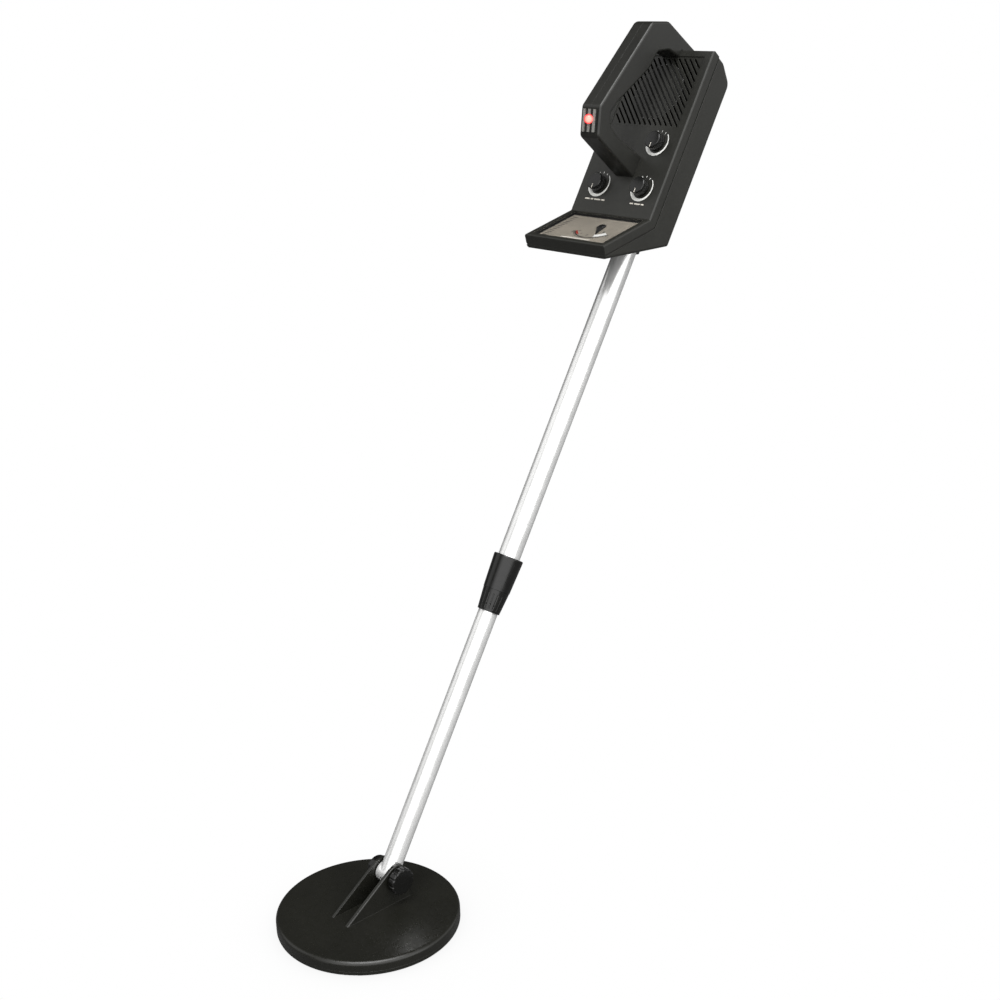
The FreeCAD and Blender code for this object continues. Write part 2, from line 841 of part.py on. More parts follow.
def front_cover():
    body = new_body("front_cover", STEM_FRAME)
    wall, seam = d.shell_wall, d.seam_depth
    seam_x = d.panel_x - seam
    side_outline(body, [
        tray_point(d.tray_length, 0), (d.panel_x, d.corner_z), (d.panel_x, d.panel_top_z),
        (seam_x, top_at(seam_x)), corner_at(seam), tray_point(d.tray_length, seam),
    ], d.half_width * 2)
    dress(body, "Fillet", 2.0, front_rim_edges)
    past = seam + 1
    inner_end = d.tray_length - wall
    side_outline(body, [
        tray_point(inner_end, wall), corner_at(wall),
        (d.panel_x - wall, top_at(d.panel_x - wall, wall)),
        (d.panel_x - past, top_at(d.panel_x - past, wall)), corner_at(past),
        tray_point(inner_end, past),
    ], (d.half_width - wall) * 2, "Pocket")
    seam_groove(body)
    meter_opening(body)
    grille(body)
    inside = d.panel_x - wall
    for y in (-d.case_screw_y, d.case_screw_y):
        for z in CASE_SCREW_Z:
            boss(body, d.case_boss_radius, inside - d.boss_meeting_x + 0.5,
                 at(d.boss_meeting_x, y, z, ALONG_X))
            bore(body, 1.35, 18, at(d.boss_meeting_x - 1, y, z, ALONG_X))
    for y, z in CONTROLS.values():
        bore(body, d.pot_bush_radius + GAP, 10, at(inside - 2, y, z, ALONG_X))
    for y in HANDLE_FOOT_Y:
        bore(body, 1.6, 10, at(inside - 2, y, HANDLE_FOOT_Z, ALONG_X))
        bore(body, 1.6, 12, at(HANDLE_TOP_X, y, d.panel_top_z - 8))
    bore(body, 3.0, 10, at(inside - 2, 0, 822, ALONG_X))


CASE_SCREW_Z = (776.0, 924.0)
CASE_SCREW_SEAT = 10.0
HANDLE_FOOT_Y = (-7.0, 7.0)
HANDLE_FOOT_Z = 813.0
HANDLE_TOP_X = 36.5


def front_rim_edges(edge):
    """Outer edges of the panel and the tray, along both sides and across the ends."""
    ends = [vertex.Point for vertex in edge.Vertexes]
    if len(ends) < 2:
        return False
    seam_x = d.panel_x.value - d.seam_depth.value
    middle = (ends[0] + ends[1]) * 0.5
    on_side = all(near(abs(p.y), d.half_width) for p in ends)
    on_tray_line = near(middle.x + middle.z, d.panel_x.value + d.corner_z.value)
    on_panel = near(middle.x, d.panel_x)
    across = near(middle.y, 0)
    at_corner = near(middle.z, d.corner_z)
    return (on_side or across) and (on_tray_line or on_panel) and not (across and at_corner) \
        and middle.x > seam_x


def seam_groove(body):
    """A shadow gap down each side, along the joint with the rear cover."""
    seam, gap = d.seam_depth, d.seam_gap
    beyond_tray, beyond_top = d.tray_length + 5, d.panel_top_z + 5
    floor_y = d.half_width - d.seam_gap_depth
    for side in (1, -1):
        sketch = new_sketch(body, "XZ", floor_y * -side)
        draw_polygon(sketch, [
            tray_point(beyond_tray, seam + 1), corner_at(seam + 1),
            (d.panel_x - seam - 1, beyond_top), (d.panel_x - seam + gap, beyond_top),
            corner_at(seam - gap), tray_point(beyond_tray, seam - gap),
        ])
        cut(body, sketch, 5, reverse=(side < 0))


def meter_opening(body):
    along = d.meter_far - d.meter_near
    hole = block(body, "Subtractive", along, d.meter_half_width * 2, 20, ROW_FRAME)
    to_stem = STEM_FRAME.inverse() * TRAY_FRAME
    hole.Placement = to_stem * at(d.meter_near, -d.meter_half_width, -10)


def grille(body):
    """A shallow recess over the speaker, crossed by slanting slots."""
    low, high = d.grille_bottom_z, d.grille_top_z
    half = d.grille_half_width
    block(body, "Subtractive", 5, half * 2, high - low, at(d.panel_x - d.grille_recess, -half, low))
    sketch = new_sketch(body, "YZ", d.panel_x + 1)
    margin = 3.0
    reach = half.value - margin
    floor, roof = low.value + margin, high.value - margin
    step = d.grille_pitch.value * math.sqrt(2)
    offset = floor - reach + 2.0
    while offset < roof + reach:
        left = max(-reach, offset - roof)
        right = min(reach, offset - floor)
        if right - left > 3.0:
            draw_slot(sketch, Vector(left, offset - left, 0), Vector(right, offset - right, 0),
                      d.grille_slot_radius.value)
        offset += step
    cut(body, sketch, 8)


def rear_cover():
    body = new_body("rear_cover", STEM_FRAME)
    wall, seam = d.shell_wall, d.seam_depth
    seam_x = d.panel_x - seam
    rise = sine(d.lean) / cosine(d.lean)
    low_x, low_z = tray_point(d.tray_length, d.tray_front)
    back_bottom = low_z + (low_x - d.back_x) * rise
    side_outline(body, [
        tray_point(d.tray_length, seam), corner_at(seam), (seam_x, top_at(seam_x)),
        (d.top_step_x, d.top_step_z), (d.back_x, d.top_back_z), (d.back_x, back_bottom),
        (low_x, low_z),
    ], d.half_width * 2)
    dress(body, "Fillet", 12.0, rear_top_edges)
    dress(body, "Fillet", 3.0, rear_side_edges)
    inner_back = d.back_x + wall
    floor_drop = wall / cosine(d.lean)
    ahead = seam - 1
    end_x, end_z = tray_point(d.tray_length - wall, seam)
    floor_z = low_z + (low_x - end_x) * rise + floor_drop
    slope_drop = wall * 1.25
    side_outline(body, [
        tray_point(d.tray_length - wall, ahead), corner_at(ahead),
        (d.panel_x - ahead, top_at(d.panel_x - ahead, wall)),
        (d.top_step_x + 1, top_at(d.top_step_x + 1, wall)),
        (inner_back, d.top_back_z - slope_drop + 1), (inner_back, back_bottom - wall * rise + floor_drop),
        (end_x, floor_z),
    ], (d.half_width - wall) * 2, "Pocket")
    boss(body, d.socket_radius, d.socket_top_z - d.socket_bottom_z, at(0, 0, d.socket_bottom_z))
    bore(body, d.upper_tube_radius + GAP, d.upper_tube_end + 3 + GAP - d.socket_bottom_z + 10,
         at(0, 0, d.socket_bottom_z - 10))
    bore(body, 4, 20, at(0, 0, 800, ALONG_X))
    for z in STEM_SCREW_Z:
        bore(body, 1.5, 20, at(0, 0, z, ALONG_X))
    for y in (-d.case_screw_y, d.case_screw_y):
        for z in CASE_SCREW_Z:
            boss(body, d.case_boss_radius + 0.4, d.boss_meeting_x - d.back_x - 2.6,
                 at(d.back_x + 2, y, z, ALONG_X))
            bore(body, 1.6, 20, at(0, y, z, ALONG_X))
            bore(body, 3.2, CASE_SCREW_SEAT, at(0, y, z, ALONG_X))
    battery_opening(body)
    bore(body, 4.0 + GAP, 12, at(JACK_X, -d.half_width + 6, JACK_Z, BACK_Y))


JACK_X = 18.0
JACK_Z = 845.0


def rear_top_edges(edge):
    """The two bends that round the housing's top towards its back."""
    middle = edge.CenterOfMass
    on_step = near(middle.x, d.top_step_x) and near(middle.z, d.top_step_z)
    on_back = near(middle.x, d.back_x) and near(middle.z, d.top_back_z)
    return on_step or on_back


def rear_side_edges(edge):
    """Edges of the side walls behind the seam and along the bottom."""
    middle = edge.CenterOfMass
    ends = [vertex.Point for vertex in edge.Vertexes]
    on_side = len(ends) > 1 and all(near(abs(p.y), d.half_width) for p in ends)
    behind_seam = middle.x < d.top_step_x.value + 1 or middle.z < d.corner_z.value - 20
    tray_sum = d.panel_x.value + d.corner_z.value - d.seam_depth.value * math.sqrt(2)
    on_seam = near(middle.x + middle.z, tray_sum, 0.1)
    tray_end_x = tray_point(d.tray_length, d.seam_depth)[0].value
    on_front_face = middle.x > tray_end_x - 4
    return on_side and behind_seam and not on_seam and not on_front_face


def battery_opening(body):
    slack = 0.2
    block(body, "Subtractive", 6, d.door_width + slack * 2, d.door_height + slack * 2,
          at(d.back_x - 2, d.door_y - slack, d.door_bottom_z - slack))
    hinge_z = d.door_bottom_z + 1.2
    bore(body, d.hinge_pin_radius + GAP, d.door_width + 4,
         at(d.back_x + 1.25, d.door_y - 2, hinge_z, ALONG_Y))


def case_screws():
    screws = []
    for y in (-d.case_screw_y, d.case_screw_y):
        for z in CASE_SCREW_Z:
            place = STEM_FRAME * at(CASE_SCREW_SEAT - GAP, y, z, ALONG_X)
            screws.append(pan_screw(f"case_screw_{len(screws) + 1}", 2.9, 2.0, 1.3, 18, place))
    group("case_screws", screws)


# ---------------------------------------------------------------- batteries


def battery_door():
    """A flap that swings out about two pins at its lower edge."""
    body = new_body("battery_door", STEM_FRAME)
    thick = 2.4
    edge_z = d.door_bottom_z + 1.2
    block(body, "Additive", thick, d.door_width, d.door_height - 1.2, at(d.back_x + 0.05, d.door_y, edge_z))
    boss(body, 1.2, d.door_width, at(d.back_x + 1.25, d.door_y, edge_z, ALONG_Y))
    boss(body, d.hinge_pin_radius, d.door_width + 3, at(d.back_x + 1.25, d.door_y - 1.5, edge_z, ALONG_Y))
    for number in range(5):
        groove_z = d.door_bottom_z + d.door_height - 24 + number * 3.2
        block(body, "Subtractive", 1, d.door_width - 12, 1.2, at(d.back_x - 0.4, d.door_y + 6, groove_z))
    notch = d.door_y + d.door_width / 2
    bore(body, 6, 2, at(d.back_x - 1.3, notch, d.door_bottom_z + d.door_height + 1.5, ALONG_X))


BATTERY_Z = (769.0, 823.5)


def batteries():
    cells = []
    for number, z in enumerate(BATTERY_Z, start=1):
        case = document.addObject("Part::Box", f"battery_case_{number}")
        bind(case, "Length", d.battery_depth)
        bind(case, "Width", d.battery_width)
        bind(case, "Height", d.battery_length - 3)
        case.Placement = at(0, 0, 0)
        length = d.battery_length - 3
        posts = fused(
            f"battery_posts_{number}",
            part_cylinder(f"battery_plus_{number}", 2.8, 3, at(d.battery_depth / 2, 7, length)),
            part_cylinder(f"battery_minus_{number}", 3.6, 3,
                          at(d.battery_depth / 2, d.battery_width - 7, length)))
        place = STEM_FRAME * at(d.back_x + 2.8, d.door_y + 1.8, z)
        cells.append(fused(f"battery_{number}", case, posts, place))
    group("batteries", cells)


def battery_snaps():
    snaps = []
    for number, z in enumerate(BATTERY_Z, start=1):
        strip = document.addObject("Part::Box", f"snap_strip_{number}")
        bind(strip, "Length", d.battery_depth - 3)
        bind(strip, "Width", d.battery_width)
        strip.Height = 2
        top = z + d.battery_length + 0.2
        strip.Placement = STEM_FRAME * at(d.back_x + 4.3, d.door_y + 1.8, top)
        snaps.append(strip)
    group("battery_snaps", snaps)


# ---------------------------------------------------------------- panel controls


def panel_place(y, z, lift=0.0):
    """A frame on the panel's face whose z axis points out of the panel."""
    return STEM_FRAME * at(d.panel_x + lift, y, z, ALONG_X)


# Where each control stands on the panel: (y, z) in the stem frame.
CONTROLS = {
    "sensitivity": (d.knob_y, d.knob_z),
    "tuning": (-d.knob_y, d.knob_z),
    "volume": (d.volume_y, d.volume_z),
}


def control_knob(name, y, z):
    body = new_body(f"{name}_knob", panel_place(y, z, d.knob_lift.value))
    radius, height = d.knob_radius, d.knob_height
    shaft = d.pot_shaft_radius + GAP
    turn_profile(body, [
        (shaft, 1.8), (6.2, 1.8), (6.2, 0), (radius, 0), (radius, height), (0, height),
        (0, height - 2), (shaft, height - 2),
    ])
    dress(body, "Chamfer", 0.8, ring_edges(radius, height))
    grip = bore(body, 0.55, height, at(radius + 0.15, 0, 1.5))
    repeat_around(body, grip, 30)
    block(body, "Subtractive", radius - 3, 1.6, 0.8, at(3.5, -0.8, height - 0.8))


def control_pot(name, y, z):
    """A potentiometer: its can sits behind the panel and its bush comes through it."""
    body = new_body(f"{name}_pot", panel_place(y, z))
    wall, depth = d.shell_wall, d.pot_depth
    shaft = d.pot_shaft_radius + GAP
    turn_profile(body, [
        (shaft, -wall - depth), (d.pot_radius, -wall - depth), (d.pot_radius, -wall - 0.05),
        (d.pot_bush_radius, -wall - 0.05), (d.pot_bush_radius, 2.2), (shaft, 2.2),
    ])


def control_shaft(name, y, z):
    body = new_body(f"{name}_shaft", panel_place(y, z))
    boss(body, d.pot_shaft_radius, d.pot_depth + 7, at(0, 0, -d.shell_wall - d.pot_depth + 1))


def pot_nuts():
    nuts = []
    for name, (y, z) in CONTROLS.items():
        plate = document.addObject("Part::Prism", f"{name}_nut_blank")
        plate.Polygon = 6
        plate.Circumradius = 5.8
        plate.Height = 1.6
        hole = part_cylinder(f"{name}_nut_hole", d.pot_bush_radius + GAP, 1.6)
        nut = document.addObject("Part::Cut", f"{name}_pot_nut")
        nut.Base = plate
        nut.Tool = hole
        nut.Placement = panel_place(y, z, 0.02)
        nuts.append(nut)
    group("pot_nuts", nuts)


# ---------------------------------------------------------------- sound


def speaker_frame():
    body = new_body("speaker_frame", panel_place(0, d.speaker_z, -(d.shell_wall.value + 0.8)))
    radius = d.speaker_radius
    turn_profile(body, [
        (14, -12), (17, -12), (20, -6), (29, -2), (radius, -2), (radius, 0), (30, 0),
        (28.5, -1), (18.5, -5), (15, -10.8), (14, -10.8),
    ])


def speaker_magnet():
    body = new_body("speaker_magnet", panel_place(0, d.speaker_z, -(d.shell_wall.value + 0.8)))
    turn_profile(body, [(0, -19.5), (13.5, -19.5), (13.5, -12.05), (0, -12.05)])
    dress(body, "Chamfer", 0.8, ring_edges(13.5, -19.5))


def speaker_cone():
    body = new_body("speaker_cone", panel_place(0, d.speaker_z, -(d.shell_wall.value + 0.8)))
    turn_profile(body, [
        (0, -3.2), (7, -4.6), (9, -4.8), (28, -0.6), (29.8, 0), (29.8, 0.4), (28, 0),
        (9, -4.2), (6, -3.2), (0, -1.8),
    ])


def speaker_cloth():
    body = new_body("speaker_cloth", panel_place(0, d.speaker_z, -(d.shell_wall.value + 0.35)))
    boss(body, d.speaker_radius - 1, 0.3, at(0, 0, 0))


def headphone_jack():
    """Open socket for a 3.5 mm plug, in the housing's right side wall."""
    inside = d.half_width - d.shell_wall
    body = new_body("headphone_jack", STEM_FRAME * at(JACK_X, -d.half_width, JACK_Z, BACK_Y))
    thick = d.half_width - inside
    turn_profile(body, [
        (1.8, -14), (5.5, -14), (5.5, -thick - 0.05), (4.0, -thick - 0.05), (4.0, 2.5), (1.8, 2.5),
    ])


def headphone_nut():
    body = new_body("headphone_nut", STEM_FRAME * at(JACK_X, -d.half_width, JACK_Z, BACK_Y))
    turn_profile(body, [(4.0 + GAP, 0.02), (5.8, 0.02), (5.8, 2), (4.0 + GAP, 2)])
    dress(body, "Chamfer", 0.5, ring_edges(5.8, 2))


# ---------------------------------------------------------------- meter


def meter_case():
    body = new_body("meter_case", TRAY_FRAME)
    rim = 1.2
    top, deep = -d.shell_wall - 0.05, 9.6
    along = d.meter_far - d.meter_near
    block(body, "Additive", along + rim * 2, d.meter_half_width * 2 + rim * 2, deep,
          at(d.meter_near - rim, -d.meter_half_width - rim, top - deep))
    block(body, "Subtractive", along - 3, d.meter_half_width * 2 - 3, deep,
          at(d.meter_near + 1.5, -d.meter_half_width + 1.5, top - deep + rim))
    face_top = -d.face_depth
    block(body, "Subtractive", along, d.meter_half_width * 2, 5,
          at(d.meter_near, -d.meter_half_width, face_top - d.face_thickness))


def meter_face():
    body = new_body("meter_face", TRAY_FRAME)
    slack = 0.15
    along = d.meter_far - d.meter_near - slack * 2
    block(body, "Additive", along, (d.meter_half_width - slack) * 2, d.face_thickness - 0.05,
          at(d.meter_near + slack, -d.meter_half_width + slack, -d.face_depth - d.face_thickness + 0.05))
    bore(body, 2.0, 10, at(d.needle_x, d.needle_y, -10))


def meter_movement():
    """The moving-coil block hung below the face, with a bearing for the needle's staff."""
    body = new_body("meter_movement", TRAY_FRAME * at(d.needle_x, d.needle_y, 0))
    under_face = -d.face_depth - d.face_thickness
    boss(body, 13, 4.5, at(0, 0, under_face - 5.5))
    bore(body, 0.8, 3.5, at(0, 0, under_face - 4.5))
    block(body, "Additive", 20, 34, 1, at(-10, -17, under_face - 1))
    bore(body, 2.0, 3, at(0, 0, under_face - 2))


def needle_frame():
    """On the needle's staff, turned to where the needle rests."""
    rest = Rotation(Vector(0, 0, 1), d.needle_rest.value)
    return TRAY_FRAME * at(d.needle_x, d.needle_y, -d.face_depth + 0.5, rest)


def meter_needle():
    body = new_body("meter_needle", needle_frame())
    blade = new_sketch(body, "XY")
    draw_polygon(blade, [
        (-3.5, -3), (0, -5.6), (d.needle_length, -0.2), (d.needle_length, 0.2), (0, 5.6), (-3.5, 3),
    ])
    pad(body, blade, 0.4)
    boss(body, 2.4, 0.8, ROW_FRAME)
    staff = 4.5
    boss(body, 0.75, staff, at(0, 0, 0.4 - staff))


def needle_cap():
    """Domed cap pressed over the needle's hub."""
    body = new_body("needle_cap", needle_frame())
    turn_profile(body, [(2.45, 0.42), (3.8, 0.42), (3.8, 0.9), (2.6, 1.5), (0, 1.5), (0, 0.85), (2.45, 0.85)])


def meter_window():
    body = new_body("meter_window", TRAY_FRAME)
    slack = 0.15
    along = d.meter_far - d.meter_near - slack * 2
    block(body, "Additive", along, (d.meter_half_width - slack) * 2, d.window_thickness,
          at(d.meter_near + slack, -d.meter_half_width + slack,
             -d.window_depth - d.window_thickness))


# ---------------------------------------------------------------- circuit board


BOARD_X = 28.0


def main_circuit_board():
    body = new_body("main_circuit_board", STEM_FRAME)
    block(body, "Additive", d.board_thickness, 94, 92, at(BOARD_X, -47, 772))
    for y in (-42, 42):
        for z in (777, 859):
            bore(body, 1.6, 8, at(BOARD_X - 3, y, z, ALONG_X))


def board_components():
    """Chips and capacitors on the back of the board, clear of the batteries."""
    pieces = []
    chips = ((-40, 785), (-40, 812), (-20, 785), (-20, 812))
    for number, (y, z) in enumerate(chips, start=1):
        chip = document.addObject("Part::Box", f"chip_{number}")
        chip.Length, chip.Width, chip.Height = 3.4, 6.4, 19.0
        chip.Placement = STEM_FRAME * at(BOARD_X - 3.45, y, z)
        pieces.append(chip)
    for number, (y, z) in enumerate(((-36, 846), (-22, 846), (-8, 846), (6, 846)), start=1):
        can = part_cylinder(f"capacitor_{number}", 4, 9, STEM_FRAME * at(BOARD_X - 0.05, y, z, BACK_X))
        pieces.append(can)
    group("board_components", pieces)


# ---------------------------------------------------------------- handle

# Outer corners of the loop in the stem's side view, from the foot on the panel, round
# the nose and the grip, to where the upper arm stands on the housing's top.
HANDLE_NOSE_LOW = (115.5, 817.7)
HANDLE_NOSE_HIGH = (128.5, 847.2)
HANDLE_OUTER = [(44.0, 805.0), HANDLE_NOSE_LOW, HANDLE_NOSE_HIGH, (100.0, 960.0), (77.0, 972.5), (24.5, 966.5)]
# The finger opening, from the panel's top edge back to the panel.
HANDLE_OPENING = [(44.05, 948.0), (62.0, 946.5), (76.5, 937.0), (79.5, 916.0), (105.5, 864.0), (110.0, 848.0),
                  (103.0, 837.0), (86.0, 831.5), (44.0, 830.0)]


def handle_outline():
    on_top = [(24.5, top_at(as_size(24.5)).value + 0.05), (44.05, d.panel_top_z.value + 0.05)]
    foot = [(d.panel_x.value + 0.05, HANDLE_OPENING[-1][1]), (d.panel_x.value + 0.05, HANDLE_OUTER[0][1])]
    return HANDLE_OUTER[1:] + on_top + HANDLE_OPENING[:-1] + foot


def inset(corners, distance):
    """The outline moved inwards; the corners run clockwise or anticlockwise."""
    area = sum(a[0] * b[1] - b[0] * a[1] for a, b in zip(corners, corners[1:] + corners[:1]))
    sign = 1 if area > 0 else -1
    moved = []
    for number, here in enumerate(corners):
        before, after = corners[number - 1], corners[(number + 1) % len(corners)]
        first = Vector(here[0] - before[0], here[1] - before[1], 0).normalize()
        second = Vector(after[0] - here[0], after[1] - here[1], 0).normalize()
        normal_1 = Vector(-first.y, first.x, 0) * sign
        normal_2 = Vector(-second.y, second.x, 0) * sign
        bisector = (normal_1 + normal_2) * (distance / (1 + normal_1.dot(normal_2)))
        moved.append((here[0] + bisector.x, here[1] + bisector.y))
    return moved


HANDLE_SCREWS = ((112.0, 829.0), (60.0, 821.0), (106.0, 900.0), (84.0, 957.0))


def handle_shell(name, side):
    body = new_body(name, STEM_FRAME)
    outline = handle_outline()
    sketch = new_sketch(body, "XZ")
    draw_polygon(sketch, outline)
    pad(body, sketch, d.handle_half, reverse=(side > 0))
    top_corners = HANDLE_OUTER[3:5]
    round_corners(body, d.handle_corner_round, HANDLE_OUTER[1:3] + HANDLE_OPENING[1:-1])
    round_corners(body, d.handle_top_round, top_corners)
    outer = d.handle_half.value * side
    foot_x = d.panel_x.value + 1
    dress(body, "Fillet", d.handle_edge_round, lambda edge: near(edge.CenterOfMass.y, outer)
          and edge.CenterOfMass.x > foot_x and not near(edge.CenterOfMass.x, foot_x - 1, 0.5))
    hollow = new_sketch(body, "XZ")
    draw_polygon(hollow, inset(outline, d.handle_wall.value))
    cut(body, hollow, d.handle_half - d.handle_wall, reverse=(side < 0))
    into = BACK_Y if side < 0 else ALONG_Y
    for x, z in HANDLE_SCREWS:
        boss(body, 3.4, d.handle_half - 1, at(x, 0.05 * side, z, into))
        if side > 0:
            bore(body, 1.35, 9, at(x, -1, z, ALONG_Y))
        else:
            bore(body, 1.6, 20, at(x, 1, z, BACK_Y))
            bore(body, 3.1, 6, at(x, -d.handle_half + 4, z, BACK_Y))
    sleeve = d.led_radius + GAP + d.bezel_sleeve + GAP
    bore(body, sleeve, 12, nose_frame() * at(0, 0, -9))
    y = HANDLE_FOOT_Y[1] * side
    boss(body, 3.2, 9, at(d.panel_x + 0.05, y, HANDLE_FOOT_Z, ALONG_X))
    bore(body, 1.35, 8, at(d.panel_x - 1, y, HANDLE_FOOT_Z, ALONG_X))
    boss(body, 3.2, 8, at(HANDLE_TOP_X, y, d.panel_top_z + 0.05))
    bore(body, 1.35, 10, at(HANDLE_TOP_X, y, d.panel_top_z - 3))
    bore(body, 3.0, 6, at(d.panel_x - 1, 0, 822, ALONG_X))


def round_corners(body, radius, corners):
    """Rounds the edges that run across the handle at the given corners."""
    dress(body, "Fillet", radius, lambda edge: is_across(edge) and any(
        near(edge.CenterOfMass.x, x) and near(edge.CenterOfMass.z, z) for x, z in corners))


def is_across(edge):
    ends = [vertex.Point for vertex in edge.Vertexes]
    return len(ends) > 1 and abs(ends[0].y - ends[1].y) > d.handle_half.value - 1


def nose_frame(part=0.57):
    """A frame on the nose's face, in the stem frame; z points out of it and x down it."""
    low = Vector(HANDLE_NOSE_LOW[0], 0, HANDLE_NOSE_LOW[1])
    high = Vector(HANDLE_NOSE_HIGH[0], 0, HANDLE_NOSE_HIGH[1])
    face = (high - low).normalize()
    outward = Vector(face.z, 0, -face.x)
    return Placement(low + (high - low) * part, Rotation(Vector(0, 0, 1), outward))


LAMP_SEAT = 3.6


def led_bezel():
    """A bright plate with three upright ribs, whose sleeve holds the indicator."""
    body = new_body("led_bezel", STEM_FRAME * nose_frame())
    half, length, thick = d.bezel_half_width, d.bezel_length, 1.0
    lamp = d.led_radius + GAP
    above_lamp = 10.5
    block(body, "Additive", length, half * 2, thick - 0.02, at(-above_lamp, -half, 0.02))
    rib = d.bezel_rib_width
    for step in (-1, 0, 1):
        block(body, "Additive", length, rib, 0.9,
              at(-above_lamp, d.bezel_rib_pitch * step - rib / 2, thick))
    boss(body, lamp + d.bezel_sleeve, LAMP_SEAT + thick, at(0, 0, -LAMP_SEAT))
    bore(body, lamp, 12, at(0, 0, -6))


def indicator_led():
    body = new_body("indicator_led", STEM_FRAME * nose_frame())
    radius, height = d.led_radius, d.led_height
    flange = radius + d.bezel_sleeve
    seat = LAMP_SEAT + 0.05
    turn_profile(body, [
        (0, -seat - 1), (flange, -seat - 1), (flange, -seat), (radius, -seat), (radius, height),
        (0, height),
    ])
    dress(body, "Fillet", radius - 0.3, ring_edges(radius, height))


def handle_screws():
    screws = []

    def screw(place):
        name = f"handle_screw_{len(screws) + 1}"
        screws.append(pan_screw(name, 2.8, 1.8, 1.3, 14, STEM_FRAME * place))

    seat = d.handle_half.value - 4
    for x, z in HANDLE_SCREWS:
        screw(at(x, -seat - 0.02, z, ALONG_Y))
    group("handle_screws", screws)


def handle_mount_screws():
    """Driven from inside the housing into the handle's foot and upper arm."""
    screws = []
    inside = d.panel_x - d.shell_wall - 0.02
    roof = top_at(as_size(HANDLE_TOP_X), 2.5).value - 0.65
    for y in HANDLE_FOOT_Y:
        for place in (at(inside, y, HANDLE_FOOT_Z, ALONG_X), at(HANDLE_TOP_X, y, roof)):
            name = f"mount_screw_{len(screws) + 1}"
            screws.append(pan_screw(name, 2.8, 1.8, 1.3, 8.5, STEM_FRAME * place))
    group("handle_mount_screws", screws)


# ---------------------------------------------------------------- build and write


coil_upper_shell()
coil_lower_cover()
coil_cover_screws()
winding_carrier()
winding("transmit_winding", d.transmit_radius)
winding("receive_winding", d.receive_radius)
coil_terminal_board()
coil_grommet()
coil_lead()
pivot_bolt()
pivot_thumb_nut()
friction_washers()
stem_end_plug()
lower_tube()
plug_screws()
guide_bush()
stem_cable()
lock_nut()
collar_sleeve()
collet()
upper_tube()
upper_tube_cap()
stem_screws()
front_cover()
rear_cover()
case_screws()
battery_door()
batteries()
battery_snaps()
for control, (control_y, control_z) in CONTROLS.items():
    control_knob(control, control_y, control_z)
    control_pot(control, control_y, control_z)
    control_shaft(control, control_y, control_z)
pot_nuts()
speaker_frame()
speaker_magnet()
speaker_cone()
speaker_cloth()
headphone_jack()
headphone_nut()
meter_case()
meter_face()
meter_movement()
meter_needle()
needle_cap()
meter_window()
main_circuit_board()
board_components()
handle_shell("handle_left_shell", 1)
handle_shell("handle_right_shell", -1)
led_bezel()
indicator_led()
handle_screws()
handle_mount_screws()
document.recompute()

for item in document.Objects:
    if "Invalid" in item.State or "Error" in item.State:
        raise RuntimeError(f"{item.Label} did not build: {item.State}")
for node in nodes:
    if node.Shape.isNull() or not node.Shape.isValid():
        raise RuntimeError(f"{node.Label} has no valid shape")
for node in nodes:
    node.Shape.exportStep(f"parts/{node.Label}.step")
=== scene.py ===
import json
import math

import bmesh
import bpy
from mathutils import Matrix, Vector

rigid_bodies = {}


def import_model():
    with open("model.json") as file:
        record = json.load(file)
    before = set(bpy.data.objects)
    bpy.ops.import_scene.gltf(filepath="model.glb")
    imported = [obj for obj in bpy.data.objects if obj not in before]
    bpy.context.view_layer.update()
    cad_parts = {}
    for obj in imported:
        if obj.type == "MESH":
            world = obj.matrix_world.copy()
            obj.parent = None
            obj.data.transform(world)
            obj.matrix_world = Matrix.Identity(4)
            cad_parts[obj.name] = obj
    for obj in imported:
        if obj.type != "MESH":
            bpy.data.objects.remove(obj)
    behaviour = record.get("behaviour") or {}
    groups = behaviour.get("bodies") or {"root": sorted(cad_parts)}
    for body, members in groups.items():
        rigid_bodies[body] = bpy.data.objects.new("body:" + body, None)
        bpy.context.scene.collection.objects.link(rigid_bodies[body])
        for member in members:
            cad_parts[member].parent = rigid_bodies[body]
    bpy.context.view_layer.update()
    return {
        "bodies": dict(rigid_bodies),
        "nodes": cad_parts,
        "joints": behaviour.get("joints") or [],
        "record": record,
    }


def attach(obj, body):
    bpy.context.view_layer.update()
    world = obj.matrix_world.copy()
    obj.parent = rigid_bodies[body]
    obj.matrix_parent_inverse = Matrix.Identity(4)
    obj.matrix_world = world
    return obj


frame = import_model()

scene = bpy.context.scene
nodes = frame["nodes"]

# ---------------------------------------------------------------- frames

# The stem leans back from the pivot bolt. Distances along and out from it are in mm.
MM = 0.001
LEAN = math.radians(31.13)
PIVOT = Vector((-0.0307, 0.0, 0.0450))
STEM = Matrix.Translation(PIVOT) @ Matrix.Rotation(-LEAN, 4, "Y")

# The panel's face: x to the user's left, y up the stem, z out of the panel.
PANEL_X = 44.0
PANEL_AXES = Matrix(((0, 0, 1, 0), (1, 0, 0, 0), (0, 1, 0, 0), (0, 0, 0, 1)))
PANEL = STEM @ Matrix.Translation(Vector((PANEL_X, 0, 0)) * MM) @ PANEL_AXES

# The meter's tray: x away from the panel, z out of the tray.
CORNER_Z = 759.7
TRAY_TILT = Matrix.Rotation(math.radians(45), 4, "Y")
TRAY = STEM @ Matrix.Translation(Vector((PANEL_X, 0, CORNER_Z)) * MM) @ TRAY_TILT

# The ribbed plate on the handle's nose: a point on its face, the way it faces, and
# how far above that point, in metres, its ribs start and end.
NOSE = Vector((122.91, 0, 834.5)) * MM
NOSE_OUTWARD = Vector((0.9151, 0, -0.4033))
RIB_FOOT = 0.0011
RIB_TOP = 0.0017


# ---------------------------------------------------------------- material tools


